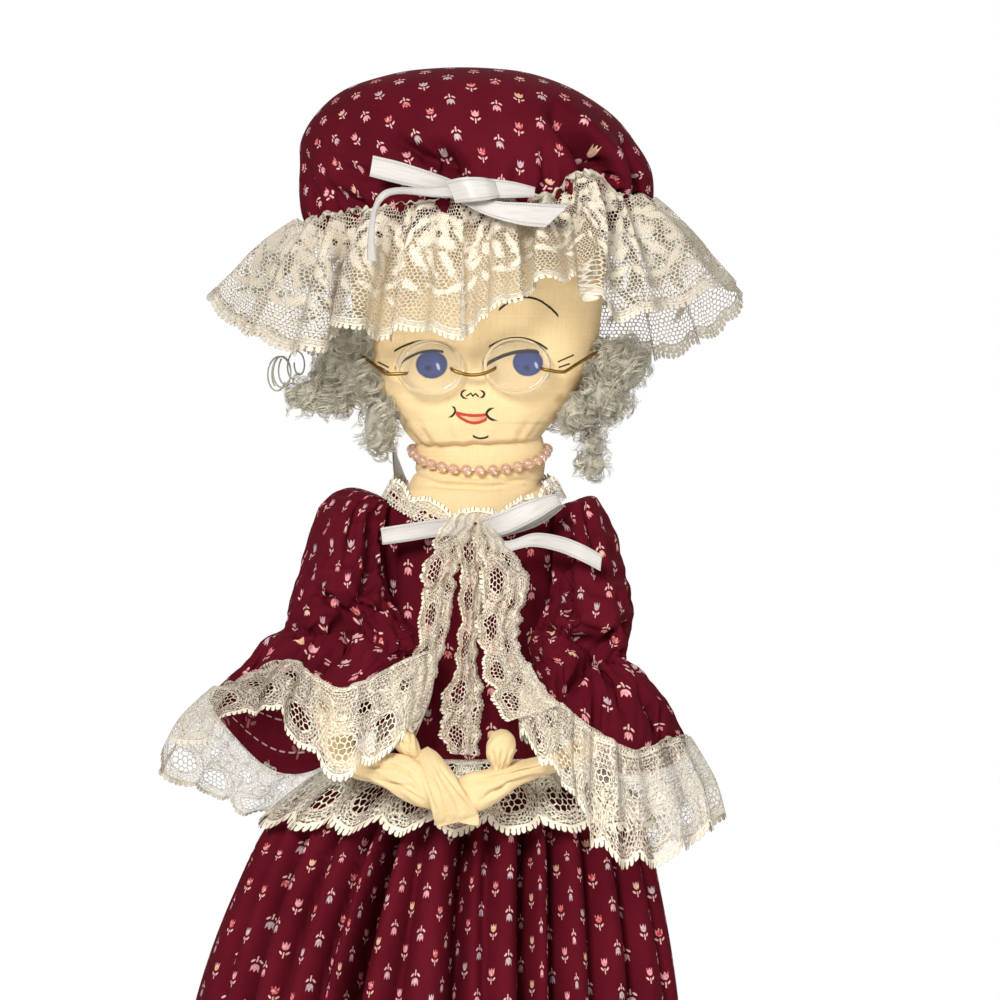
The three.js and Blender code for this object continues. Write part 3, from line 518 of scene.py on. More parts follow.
def ramp(tree, share, stops):
    """A colour read from stops of (place, screen hexadecimal), each kept up to the next."""
    node = tree.nodes.new("ShaderNodeValToRGB")
    node.color_ramp.interpolation = "CONSTANT"
    while len(node.color_ramp.elements) < len(stops):
        node.color_ramp.elements.new(0.5)
    for element, (place, value) in zip(node.color_ramp.elements, stops):
        element.position, element.color = place, hexed(value)
    feed(share, node.inputs[0])
    return node.outputs[0]


def group(name, inputs, outputs):
    """A new shader group with named sockets: its tree, its input sockets and its output sockets."""
    tree = bpy.data.node_groups.new(name, "ShaderNodeTree")
    for label, kind in inputs:
        tree.interface.new_socket(label, in_out="INPUT", socket_type="NodeSocket" + kind)
    for label, kind in outputs:
        tree.interface.new_socket(label, in_out="OUTPUT", socket_type="NodeSocket" + kind)
    return tree, tree.nodes.new("NodeGroupInput").outputs, tree.nodes.new("NodeGroupOutput").inputs


def placed(tree, made, **values):
    """A group placed in a tree with its inputs set; gives the group node's outputs."""
    node = tree.nodes.new("ShaderNodeGroup")
    node.node_tree = made
    for label, value in values.items():
        feed(value, node.inputs[label])
    return node.outputs


# Shader groups


def once(make):
    """Keeps a group or material so that it is built only once."""
    kept = {}

    def found(*key):
        if key not in kept:
            kept[key] = make(*key)
        return kept[key]
    found.__doc__ = make.__doc__
    return found


@once
def weave():
    """Plain weave: relief is the product of two rectified sines of the thread pitch;
    tone is the mean of two stretched noises, one along each set of threads."""
    tree, given, out = group("Plain weave", [("Cloth", "Vector"), ("Pitch", "Float")],
                             [("Relief", "Float"), ("Tone", "Float")])
    x, y, _ = parts_of(tree, given["Cloth"], 1.0)
    pitch = Flow(tree, given["Pitch"])
    threads = [(value * math.pi / pitch).math("SINE").abs() for value in (x, y)]
    feed(threads[0] * threads[1], out["Relief"])
    warp = noise(tree, vector_of(tree, x * 2200.0, y * 60.0), 1.0)
    weft = noise(tree, vector_of(tree, x * 60.0, y * 2200.0), 1.0)
    feed((warp + weft) * 0.5, out["Tone"])
    return tree


@once
def tulips():
    """Printed tulips: columns of flowers, every other column upside down and half a row lower.
    A flower is a round cup cut by three points, with a stem and two leaves; its colour is drawn by lot."""
    tree, given, out = group(
        "Tulip print", [("Cloth", "Vector"), ("Ground", "Color"), ("Column", "Float"), ("Row", "Float")],
        [("Color", "Color"), ("Ink", "Float")])
    u, v, _ = parts_of(tree, given["Cloth"], 1.0)
    p = u / Flow(tree, given["Column"])
    column = p.math("FLOOR")
    turned = (column * 0.5).math("FRACT") * 2.0
    q = v / Flow(tree, given["Row"]) + turned * 0.5 + column * 0.07
    x = (p.math("FRACT") - 0.5) * 9.0
    y = (q.math("FRACT") - 0.5) * 18.6 * (1.0 - turned * 2.0)
    dice = tree.nodes.new("ShaderNodeTexWhiteNoise")
    feed(vector_of(tree, column, q.math("FLOOR")), dice.inputs["Vector"])
    lot = Flow(tree, dice.outputs["Value"])
    rise = y - 1.9
    low = rise.least(0.0) / 1.7
    cup = ((x / 1.55) * (x / 1.55) + low * low).within(1.0, 0.35)
    points = (x * (TURN / 1.55)).math("COSINE") * 0.55 + 1.15
    flower = cup * rise.within(points, 0.3) * x.abs().within(1.6, 0.2)
    stem = x.abs().within(0.27, 0.15) * y.near(-1.95, 1.25, 0.2)
    lean, out_by = (y + 1.0), (x.abs() - 1.45)
    leaf_along, leaf_wide = (lean + out_by) * 0.707, (lean - out_by) * 0.707
    leaf = hypot(leaf_along / 0.95, leaf_wide / 0.42).within(1.0, 0.35)
    upright = ramp(tree, lot, [(0, "C8303C"), (0.36, "E27C86"), (0.62, "DDA67E"), (0.84, "B79BA6")])
    hanging = ramp(tree, lot, [(0, "AE97A2"), (0.42, "DD8590"), (0.74, "C98E96"), (0.9, "C8303C")])
    petal = mixed(tree, turned, upright, hanging)
    veins = noise(tree, vector_of(tree, x * 1.1, y * 0.7, lot * 40.0), 1.4, 1.0)
    petal = mixed(tree, veins.held(2.4, -0.95), petal, hexed("F3D3CB"))
    ground = mixed(tree, leaf.most(stem), given["Ground"], hexed("EBB9B2"))
    feed(mixed(tree, flower, ground, petal), out["Color"])
    feed(flower.most(leaf.most(stem)), out["Ink"])
    return tree


def hex_net(x, y, cell, thread):
    """Six-sided net: in two interleaved lattices the nearer centre gives the cell,
    and a point is thread where it is close to the cell's edge."""
    def offset(shift):
        a = (x / cell + shift).math("FRACT") - 0.5
        b = ((y / (cell * 1.732) + shift).math("FRACT") - 0.5) * 1.732
        return a, b
    (ax, ay), (bx, by) = offset(0.0), offset(0.5)
    near = (ax * ax + ay * ay).math("LESS_THAN", bx * bx + by * by)
    gx = (bx + near * (ax - bx)).abs()
    gy = (by + near * (ay - by)).abs()
    edge = gx.most(gx * 0.5 + gy * 0.866)
    return (0.5 - edge).within(thread / cell, 0.06)


def ovals_of(x, y, ellipses):
    """Union of turned ellipses (x, y, half length, half width, degrees): the least of their scaled radii."""
    least = None
    for cx, cy, a, b, turn in ellipses:
        c, s = math.cos(math.radians(turn)), math.sin(math.radians(turn))
        px, py = x - cx, y - cy
        radius = hypot((px * c + py * s) / a, (py * c - px * s) / b)
        least = radius if least is None else least.least(radius)
    return least


def tiled(value, period, shift=0.0):
    """Distance from the middle of the repeat, in a pattern that repeats after a period."""
    return ((value / period + shift).math("FRACT") - 0.5) * period


def lace_sockets(name):
    """Start of a lace group: a little wavering of the threads, then millimetres along the lace,
    from its outer edge and from its heading."""
    tree, given, out = group(name, [("Cloth", "Vector"), ("Width", "Float")],
                             [("Thread", "Float"), ("Relief", "Float")])
    u, v, _ = parts_of(tree, given["Cloth"], 1000.0)
    waver, sway = (noise(tree, vector_of(tree, u + k, v), 0.22, 2.0) - 0.5 for k in (0.0, 50.0))
    edge = Flow(tree, given["Width"]) * 1000.0 - v
    return tree, out, u + waver * 2.6, edge + sway * 1.6, v


def scallops(u, edge, period, picot, depth, pitch, loop):
    """Scalloped edge: height above an arc that is lowest in mid repeat, and a row of picot loops below it."""
    share = (u / period).math("FRACT") - 0.5
    above = edge - picot - share * share * (4 * depth)
    across = tiled(u, pitch) / (pitch * 0.42)
    picots = hypot(across, (above + loop) / (loop * 1.2)).within(1.0, 0.25)
    return above, picots


@once
def trim_lace():
    """Lace of the cuffs, front and waist: fans of fine net with an open window in each,
    scrolls above them, a corded scalloped edge and bold picots."""
    period = TRIM_REPEAT / MM
    tree, out, u, edge, v = lace_sockets("Trim lace")
    above, picots = scallops(u, edge, period, 1.8, 3.6, 1.75, 0.8)
    x, x_half = tiled(u, period), tiled(u, period, 0.5)
    inside = 1.0 - above.within(0.0, 0.3)
    cord = above.near(0.2, 0.5, 0.3)
    window = ovals_of(x, edge, [(0, 10.0, 4.9, 4.1, 0)])
    upper = ovals_of(x_half, edge, [(0, 20.0, 2.9, 2.0, 0)])
    open_part = window.least(upper)
    big = hex_net(u, edge, 2.05, 0.17)
    mist = noise(tree, vector_of(tree, u * 0.9, edge * 1.3), 1.0, 3.0).held(5.0, -2.0)
    streams = (open_part * 5.0).math("FRACT").near(0.5, 0.2, 0.14)
    fine = hex_net(u, edge * 0.8, 1.3, 0.16).most(streams * 0.9) * (mist * 0.5 + 0.5)
    fine = fine.most(mist * 0.3)
    rim = open_part.near(1.05, 0.07, 0.07)
    fan = ovals_of(x, edge, [(0, 9.0, 8.3, 7.4, 0)]).near(1.0, 0.035, 0.04)
    scroll = ovals_of(x, edge, [(0, 19.0, 3.6, 3.4, 0), (0, 26.0, 6.0, 3.2, 0)]).near(1.0, 0.07, 0.08)
    leaf_buds = ovals_of(x, edge, [
        (0, 19.2, 1.3, 1.0, 0), (2.9, 16.6, 1.7, 0.6, 40), (-2.9, 16.6, 1.7, 0.6, -40)])
    buds = leaf_buds.least(ovals_of(x_half, edge, [
        (0, 15.2, 2.2, 0.6, 90), (3.4, 25, 1.8, 0.6, -35), (-3.4, 25, 1.8, 0.6, 35)]))
    solid = buds.within(1.0, 0.3)
    hole = open_part.within(1.0, 0.1)
    net = big * hole + fine * (1.0 - hole)
    bold = (rim.most(fan).most(scroll).most(solid)) * (mist * 0.4 + 0.6)
    braid = (u * (TURN / 3.1)).math("SINE") * 1.1
    head = (v + braid).near(1.9, 0.4, 0.25).most((v - braid).near(1.9, 0.4, 0.25))
    head = head.most(v.near(3.6, 0.25, 0.2)) * (mist * 0.3 + 0.7)
    body = net.most(bold) * inside * (v - 0.9).held(1.5)
    thread = body.most(cord).most(picots).most(head)
    feed(thread, out["Thread"])
    feed((bold * inside).most(cord).most(picots).most(head) + thread * 0.4, out["Relief"])
    return tree


@once
def cap_lace():
    """Lace of the cap: six-sided net with a spray of roses and leaves, a double corded edge
    and looped picots."""
    period, scallop, picot_pitch, bead_pitch = CAP_REPEAT / MM, 10.333, 1.4768, 2.067
    tree, out, u, edge, v = lace_sockets("Cap lace")
    above, picots = scallops(u, edge, scallop, 1.7, 1.7, picot_pitch, 0.75)
    x = tiled(u, period)
    inside = 1.0 - above.within(0.0, 0.3)
    net = hex_net(u, edge, 1.36, 0.16)
    rose = ovals_of(x, edge, [
        (-6, 35, 5.2, 4.6, 15), (-10.8, 31.6, 3.2, 2.3, 40), (-1.4, 31.8, 3.0, 2.2, -40),
        (-6, 40.4, 3.6, 2.0, 0), (9, 27, 4.4, 3.9, 0), (12.6, 23.4, 2.6, 1.8, 30),
        (5.4, 23.6, 2.5, 1.7, -30), (9.4, 41, 4.0, 3.0, 0)])
    leaves = ovals_of(x, edge, [
        (-13.4, 38, 3.8, 1.5, 30), (1.8, 38.4, 4.4, 1.6, -30), (4.8, 33.6, 5.0, 1.5, -42),
        (14, 33, 4.4, 1.5, 70), (-12.8, 25.6, 5.4, 1.4, -55), (-7.2, 24, 5.2, 1.3, -62),
        (-1.6, 24.4, 5.2, 1.3, -66), (-14.6, 17, 4.6, 1.2, -40), (1.4, 17.6, 4.8, 1.2, 35),
        (10.4, 16.6, 4.2, 1.2, 25), (-5.4, 15.6, 4.0, 1.1, -20), (14.6, 44.5, 3.8, 1.3, 10),
        (-13, 44.6, 3.6, 1.3, -12), (6.4, 12.4, 3.4, 0.9, -35)])
    eyes = ovals_of(x, edge, [(-6, 35, 1.5, 1.2, 0), (9, 27, 1.2, 1.1, 0), (9.4, 41, 1.0, 0.9, 0)])
    stitched = hex_net(u, edge * 1.2, 0.9, 0.24)
    ragged = noise(tree, vector_of(tree, u, edge), 0.55, 3.0) - 0.5
    motif = rose.least(leaves) + ragged * 2.4
    worked = (ragged * 1.5 + 0.62).held()
    solid = motif.within(1.1, 0.55) * (1.0 - eyes.within(0.9, 0.3)) * stitched.most(worked)
    outline = motif.near(1.1, 0.08, 0.12) * 0.6
    cords = above.near(0.25, 0.45, 0.3).most(above.near(2.3, 0.28, 0.25))
    beads = hypot(tiled(u, bead_pitch), above - 1.3).within(0.62, 0.3)
    band = above.within(2.2, 0.2) * 0.55
    top = hex_net(u, v * 1.2, 1.0, 0.2) * v.within(3.2, 0.6)
    head = v.near(0.8, 0.6, 0.3)
    body = net.most(solid).most(outline).most(band).most(beads).most(top) * inside
    thread = body.most(cords * inside).most(picots).most(head)
    feed(thread, out["Thread"])
    feed((solid.most(outline * 0.7) * inside).most(cords).most(picots) + thread * 0.4, out["Relief"])
    return tree


def parabola(points):
    """Coefficients of the parabola through three points."""
    return [float(f) for f in np.polyfit(*np.transpose(points), 2)]


def level_of(x, points):
    """Height at x of the parabola through three points."""
    k, m, n = parabola(points)
    return (x * k + m) * x + n


def pen(x, z, points, width, upright=False):
    """Pen stroke along the parabola through three points: near it, square to its slope,
    and between its ends."""
    if upright:
        x, z, points = z, x, [(b, a) for a, b in points]
    k, m, _ = parabola(points)
    slope = x * (2 * k) + m
    away = (z - level_of(x, points)).abs() / (slope * slope + 1.0).math("SQRT")
    low, high = min(p[0] for p in points), max(p[0] for p in points)
    return away.within(width * 1.5, 0.22) * x.near((low + high) / 2, (high - low) / 2, 0.3)


def dash(x, z, start, end, width):
    """Straight pen stroke: distance to the nearest point of the line between its ends."""
    bx, bz = end[0] - start[0], end[1] - start[1]
    px, pz = x - start[0], z - start[1]
    along = (px * bx + pz * bz).held(1 / (bx * bx + bz * bz))
    return hypot(px - along * bx, pz - along * bz).within(width, 0.22)


@once
def face():
    """Drawn face on the front of the head, in millimetres of the front view: pen lines are parabolas
    and dashes, irises are ellipses with a darker rim, lips fill the space between two curves."""
    inputs = [("Place", "Vector"), ("Cloth colour", "Color"), ("Ink", "Color"), ("Iris", "Color"),
              ("Lips", "Color")]
    tree, given, out = group("Drawn face", inputs, [("Color", "Color")])
    x, y, z = parts_of(tree, given["Place"], 1000.0)
    shake = noise(tree, given["Place"], 700.0, 1.0) - 0.5
    x, z = x + shake * 0.25, z + shake * 0.25
    front = y.within(MIDDLE * 1000, 2.0)
    lines = [
        ([(8.0, -30.4), (17.1, -25.9), (29.0, -32.5)], 0.26, False),
        ([(-29.0, -44.8), (-17.8, -41.2), (-7.0, -44.2)], 0.24, False),
        ([(4.5, -43.4), (14.0, -40.2), (25.2, -44.1)], 0.24, False),
        ([(-28.7, -50.8), (-21.0, -45.8), (-11.5, -45.2)], 0.3, False),
        ([(3.1, -49.9), (10.8, -46.1), (22.2, -45.2)], 0.42, False),
        ([(-1.2, -74.6), (1.5, -75.5), (4.3, -74.8)], 0.24, False),
        ([(-3.8, -58.4), (-5.2, -60.0), (-3.5, -61.7)], 0.24, True),
        ([(1.7, -58.6), (2.8, -60.2), (1.6, -61.4)], 0.26, True),
        ([(-8.2, -64.2), (-7.5, -66.2), (-9.3, -68.2)], 0.26, True),
        ([(5.7, -64.8), (3.7, -66.9), (6.6, -69.4)], 0.3, True),
    ]
    dashes = [((-34.6, -48.5), (-31.1, -50.4)), ((-34.3, -50.1), (-30.4, -52.5)),
              ((29.0, -48.5), (34.3, -46.1)), ((29.4, -50.4), (32.9, -49.2)),
              ((-3.4, -60.6), (-1.9, -59.7)), ((-1.9, -59.7), (-1.2, -60.7)),
              ((-1.2, -60.7), (-0.2, -59.8)), ((-0.2, -59.8), (0.7, -60.8))]
    ink = None
    for points, width, upright in lines:
        stroke = pen(x, z, points, width, upright)
        ink = stroke if ink is None else ink.most(stroke)
    for start, end in dashes:
        ink = ink.most(dash(x, z, start, end, 0.28))
    iris = ovals_of(x, z, [(-15.7, -49.6, 5.6, 4.9, 0), (18.2, -48.9, 5.3, 4.75, 0)])
    pupil = ovals_of(x, z, [(-17.0, -50.9, 1.5, 1.3, 0), (17.8, -50.8, 1.5, 1.3, 0)])
    glint = ovals_of(x, z, [(-13.4, -50.3, 0.55, 1.3, 20), (21.2, -49.8, 0.5, 1.2, 20)])
    upper = [(-7.3, -66.4), (-0.4, -67.5), (3.7, -67.1)]
    lower = [(-7.3, -66.6), (-1.6, -70.0), (3.8, -68.6)]
    lip_lines = pen(x, z, upper, 0.38).most(pen(x, z, lower, 0.36))
    lip = z.within(level_of(x, upper), 0.3) * level_of(x, lower).within(z, 0.3)
    lip = lip * x.near(-1.75, 5.5, 0.3)
    stains = ovals_of(x, z, [
        (-38.9, -55.0, 3.4, 4.6, 0), (36.0, -55.6, 3.0, 4.0, 0), (29.7, -61.9, 2.2, 2.0, 0)])
    blotch = noise(tree, given["Place"], 160.0, 2.0)
    colour = mixed(tree, stains.within(1.0, 1.1) * blotch * 0.8, given["Cloth colour"], hexed("A8792C"))
    redder = (x + 4.0).held(0.1)
    colour = mixed(tree, lip * (redder * 0.8 + 0.15), colour, hexed("E8705C"))
    colour = mixed(tree, lip_lines, colour, given["Lips"])
    deep = mixed(tree, iris.within(0.8, 0.5), hexed("2E3560"), given["Iris"])
    colour = mixed(tree, iris.within(1.0, 0.1), colour, deep)
    colour = mixed(tree, pupil.within(0.8, 0.7) * 0.85, colour, hexed("1E2238"))
    colour = mixed(tree, glint.within(1.0, 0.5) * 0.8, colour, hexed("E4E8F4"))
    colour = mixed(tree, ink, colour, given["Ink"])
    feed(mixed(tree, front, given["Cloth colour"], colour), out["Color"])
    return tree


# Materials


def finish(name, roughness, **constants):
    """A new material with one Principled shader: the material, its tree and the shader's inputs."""
    look = bpy.data.materials.new(name)
    look.use_nodes = True
    shader = look.node_tree.nodes["Principled BSDF"]
    shader.inputs["Roughness"].default_value = roughness
    for label, value in constants.items():
        shader.inputs[label.replace("_", " ")].default_value = value
    return look, look.node_tree, shader.inputs


def cloth_map(tree):
    node = tree.nodes.new("ShaderNodeUVMap")
    node.uv_map = CLOTH
    return node.outputs[0]


def object_place(tree):
    return tree.nodes.new("ShaderNodeTexCoord").outputs["Object"]


def raised(tree, height, depth):
    """A normal from a height that changes over the surface, at a depth in metres."""
    node = tree.nodes.new("ShaderNodeBump")
    node.inputs["Distance"].default_value = depth
    feed(height, node.inputs["Height"])
    return node.outputs[0]


@once
def calico_look(wrong_side):
    """Printed calico: tulips on burgundy, with thread tone and a fine weave; on its wrong side
    the print is faint and two rows of stitches run along an edge."""
    name = "Calico wrong side" if wrong_side else "Printed calico"
    look, tree, shader = finish(name, 0.9, Specular_IOR_Level=0.03)
    cloth, size, colour = cloth_map(tree), sizes(), colours()
    threads = placed(tree, weave(), Cloth=cloth, Pitch=CALICO_PITCH)
    worn = noise(tree, object_place(tree), 38.0, 3.0)
    ground = mixed(tree, worn.held(1.6, -0.45), shade(colour.calico, 0.72),
                   shade(colour.calico, 1.18))
    printed = placed(tree, tulips(), Cloth=cloth, Ground=ground, Column=size.column, Row=size.row)
    tone = Flow(tree, threads["Tone"]).held(1.4, -0.45)
    dyed = printed["Color"]
    if wrong_side:
        u, v, _ = parts_of(tree, cloth, 1000.0)
        dyed = mixed(tree, Flow(tree, printed["Ink"]) * 0.8, dyed, ground)
        rows = v.near(-4.0, 0.14, 0.14).most(v.near(-10.0, 0.14, 0.14))
        dyed = mixed(tree, rows * (u * (TURN / 2.6)).math("SINE").within(0.4, 0.3), dyed, hexed("C9AFA8"))
    feed(mixed(tree, tone * 0.22, dyed, hexed("3A0C1C")), shader["Base Color"])
    feed(tone * 0.15 + 0.78, shader["Roughness"])
    feed(raised(tree, threads["Relief"], 0.00006), shader["Normal"])
    return look


def shade(colour, share):
    return (*[min(1.0, c * share) for c in colour[:3]], 1.0)


@once
def muslin_look(drawn_face):
    """Unbleached muslin with slubs, flecks and yellowing, and on the head the drawn face."""
    look, tree, shader = finish("Muslin with face" if drawn_face else "Muslin", 0.8,
                                Sheen_Weight=0.1, Specular_IOR_Level=0.25)
    cloth, place, colour = cloth_map(tree), object_place(tree), colours()
    threads = placed(tree, weave(), Cloth=cloth, Pitch=MUSLIN_PITCH)
    aged = noise(tree, place, 30.0, 3.0).held(1.8, -0.5)
    # Painted light: the head takes a lighter copy of the muslin, and the neck, body and hands a darker one,
    # for how the light falls on each.
    fresh_with_painted_light, yellowed_with_painted_light = (1.09, 0.96) if drawn_face else (1.0, 0.86)
    base = mixed(tree, aged, shade(colour.muslin, fresh_with_painted_light), shade(colour.muslin, yellowed_with_painted_light))
    tone = Flow(tree, threads["Tone"])
    base = mixed(tree, tone.held(2.0, -0.75) * 0.3, base, hexed("C79F63"))
    flecks = noise(tree, place, 900.0, 0.0).held(14.0, -11.1)
    base = mixed(tree, flecks * 0.3, base, hexed("9A7A4E"))
    if drawn_face:
        base = placed(tree, face(), **{"Place": place, "Cloth colour": base, "Ink": colour.ink,
                                       "Iris": colour.iris, "Lips": colour.lips})["Color"]
    feed(base, shader["Base Color"])
    feed(tone * 0.2 + 0.7, shader["Roughness"])
    relief = Flow(tree, threads["Relief"]) + noise(tree, place, 260.0, 2.0) * 1.2
    feed(raised(tree, relief, 0.0001), shader["Normal"])
    return look


@once
def lace_look(kind, width):
    """Cotton lace: threads are opaque and the net between them is open; dense threads are yellower."""
    look, tree, shader = finish(f"{kind} {round(width * 1000)} mm", 0.85, Specular_IOR_Level=0.2)
    cloth, place, colour = cloth_map(tree), object_place(tree), colours()
    made = cap_lace() if kind == "Cap lace" else trim_lace()
    lace = placed(tree, made, Cloth=cloth, Width=width)
    aged = noise(tree, place, 24.0, 2.0).held(2.2, -0.6)
    # Painted light on the net: the cap's net is painted darker as painted shade, and the trim's and waist's
    # nets lighter against the shade they lie in; the waist lace is also whiter lace.
    bright = {"Cap lace": 0.74, "Trim lace": 1.08, "Waist lace": 1.25}[kind]
    base = mixed(tree, aged, shade(colour.lace, 1.05), shade(colour.lace, 0.86 if bright < 1 else 1.2))
    relief = Flow(tree, lace["Relief"])
    worked = (relief - 0.4).held()
    x, _, _ = parts_of(tree, place, 1000.0)
    # Painted shade: beyond 48 mm to either side the lace is painted darker, where it turns away from the
    # light.
    outer = (x.abs() - 48.0).held(0.04)
    base = mixed(tree, outer, base, shade(colour.lace, 0.66 if bright < 1 else 0.86))
    # Painted shade: back faces of the lace take a darker cream.
    behind = Flow(tree, tree.nodes.new("ShaderNodeNewGeometry").outputs["Backfacing"])
    plain = mixed(tree, outer, shade(colour.lace, bright), shade(colour.lace, 0.7))
    thread = mixed(tree, worked, plain, base)
    feed(mixed(tree, behind, thread, shade(colour.lace, 0.66 if bright < 1 else 0.74)),
         shader["Base Color"])
    feed(lace["Thread"], shader["Alpha"])
    feed(raised(tree, relief, 0.00025), shader["Normal"])
    return look


@once
def satin_look(kind):
    """Satin ribbon: fine ribs along its length, a stitched selvedge near each edge and a soft gloss."""
    look, tree, shader = finish(f"Satin {kind}", 0.38, Sheen_Weight=0.2, Anisotropic=0.4)
    u, v, _ = parts_of(tree, cloth_map(tree), 1000.0)
    half = sizes().ribbon * 500.0
    # The loop's ribbon takes its darker colour as painted shade.
    colour = colours().satin if kind == "white" else colours().loop
    rib = (u * (math.pi / 0.28)).math("SINE").abs()
    edge = half - (u - half).abs()
    stitches = edge.near(0.8, 0.22, 0.15) * (v * (TURN / 0.9)).math("SINE").within(0.3, 0.5)
    streak = noise(tree, vector_of(tree, u * 3.0, v * 0.12), 1.0, 2.0)
    # Painted sheen: streaks along the ribbon lighten and darken its colour.
    gloss = streak.held(1.6, -0.5)
    base = mixed(tree, gloss, shade(colour, 0.87), shade(colour, 1.08))
    feed(mixed(tree, stitches * 0.7, base, shade(colour, 0.5)), shader["Base Color"])
    feed(streak * 0.2 + 0.2, shader["Roughness"])
    feed(raised(tree, rib * 0.5 + stitches, 0.00008), shader["Normal"])
    return look


@once
def hair_look():
    """Mohair: each strand has its own grey, paler towards its end."""
    look, tree, shader = finish("Mohair", 0.55, Sheen_Weight=0.25)
    u, v, _ = parts_of(tree, cloth_map(tree), 1.0)
    grain = noise(tree, object_place(tree), 420.0, 3.0)
    colour = colours().hair
    share = (u * 0.8 + grain * 0.3 + v * 0.1 - 0.1).held()
    feed(mixed(tree, share, shade(colour, 0.55), shade(colour, 1.85)), shader["Base Color"])
    feed(grain * 0.3 + 0.4, shader["Roughness"])
    return look


@once
def gold_look():
    """Gilt wire, duller where it was bent and handled."""
    look, tree, shader = finish("Gilt wire", 0.3, Metallic=1.0)
    rub = noise(tree, object_place(tree), 500.0, 3.0)
    bright = rub.held(1.8, -0.4)
    feed(mixed(tree, bright, shade(colours().gold, 0.6), colours().gold), shader["Base Color"])
    feed(rub * 0.35 + 0.15, shader["Roughness"])
    return look


@once
def lens_look():
    """Clear moulded plastic with faint scuffs."""
    look, tree, shader = finish("Clear plastic", 0.03, Transmission_Weight=1.0, IOR=1.46)
    scuffs = noise(tree, object_place(tree), 320.0, 4.0).held(0.5, -0.26)
    share, _, _ = parts_of(tree, cloth_map(tree), 1.0)
    rim = share.near(0.93, 0.055, 0.03)
    feed(mixed(tree, rim, (0.985, 0.985, 0.975, 1.0), (1.0, 0.99, 0.95, 1.0)), shader["Base Color"])
    feed(scuffs + rim * 0.3, shader["Roughness"])
    return look


@once
def pearl_look():
    """Pearl bead: soft coat over a peach body with slight clouding."""
    look, tree, shader = finish("Pearl bead", 0.08, Transmission_Weight=0.75, IOR=1.4, Coat_Weight=1.0)
    cloud = noise(tree, object_place(tree), 240.0, 2.0)
    feed(mixed(tree, cloud, shade(colours().pearl, 0.9), shade(colours().pearl, 1.15)),
         shader["Base Color"])
    feed(cloud * 0.2 + 0.04, shader["Roughness"])
    return look


# Pieces


class DOLL_OT_head(bpy.types.Operator):
    """Stuffed muslin head with the drawn face"""
    bl_idname = "doll.head"
    bl_label = "Head"

    def execute(self, context):
        stations = [
            (31, 0.5, 0, 0, 0), (29.6, 0.5, 0, 12, 8), (25, 0.5, 0, 23, 14.5), (17, 0.5, 0, 33.5, 20.5),
            (5, 0.5, 0, 41.5, 25), (-12, 0.5, 0, 45, 27.5), (-28, 0.5, 0, 44.6, 27.5),
            (-46, 0.6, 0, 41.7, 26.6), (-58.5, 0.5, 0, 36.3, 24.6), (-68.6, 0.3, 0, 28, 21.8),
            (-74.2, 0.3, 0, 23.4, 19.8), (-76.8, 0.4, 0, 20.5, 18.2), (-78, 0.5, 0, 14, 12),
            (-78.4, 0.5, 0, 0, 0)]
        rows, columns = 96, 128
        grid = ovals(stations, rows, columns, 2.5)
        t, height = angles(columns)[None, :], grid[..., 2]
        dents = 0.35 * wander(t + height / 60, 3, 3, 9) * bell(height + 30, 40)
        pulls = 0.5 * wander(t, 4, 14, 26) * bell(height + 74, 5)
        grid = pushed(grid, dents + pulls)
        grid[..., 2] += np.where(height < -70, 0.03 * (grid[..., 0] - 0.5), 0)
        head = piece("head", [(grid, True, flat_cloth(grid, True))], muslin_look(True), "head",
                     ["head_skin", "head_stuffing"], weld=True)
        return {"FINISHED"}


class DOLL_OT_body(bpy.types.Operator):
    """Muslin neck and stuffed body, with the creases of the neck"""
    bl_idname = "doll.body"
    bl_label = "Neck and body"

    def execute(self, context):
        stations = [
            (-70.5, 1, 0, 0, 0), (-70.6, 1, 0, 16, 10), (-73, 1.2, 0, 21.4, 14.4),
            (-78, 1.6, 0, 22.8, 15.4), (-84, 1.5, 0, 22.9, 15.6), (-89, 0.6, 0, 23.3, 16),
            (-92.5, 0, 0, 25, 16.8), (-97, -1, 0, 27.8, 18.6), (-106, -2.5, 0, 30, 20.6),
            (-130, -2.5, 0, 31, 22), (-160, -2.5, 0, 30.5, 21.6), (-188, -2.5, 0, 29, 20.4),
            (-203, -2.5, 0, 23, 16), (-210, -2.5, 0, 12, 8), (-212, -2.5, 0, 0, 0)]
        neck_creases = [
            (1.1, 0.9, (408, 472), (440, 485), (490, 488), (530, 478)),
            (1.2, 1.0, (512, 512), (536, 490), (556, 478)),
            (0.9, 0.8, (420, 462), (470, 478), (540, 466)),
            (1.0, 0.9, (402, 492), (412, 506), (430, 514))]
        rows, columns = 110, 96
        grid = ovals(stations, rows, columns)
        t, height = angles(columns)[None, :], grid[..., 2]
        wave = 1.2 * np.sin(2 * t)
        rings = sum(-depth * bell(height - level - lean * grid[..., 0] - wave, 0.8)
                    for level, lean, depth in ((-88.6, -0.06, 0.9), (-92.2, 0.05, 0.8)))
        soft = 0.4 * wander(t + height / 30, 8, 2, 7)
        grid = creased(pushed(grid, rings + soft * (height < -71)), neck_creases)
        body = piece("body", [(grid, True, flat_cloth(grid, True))], muslin_look(False), "body",
                     ["body_skin", "body_stuffing"], weld=True)
        return {"FINISHED"}


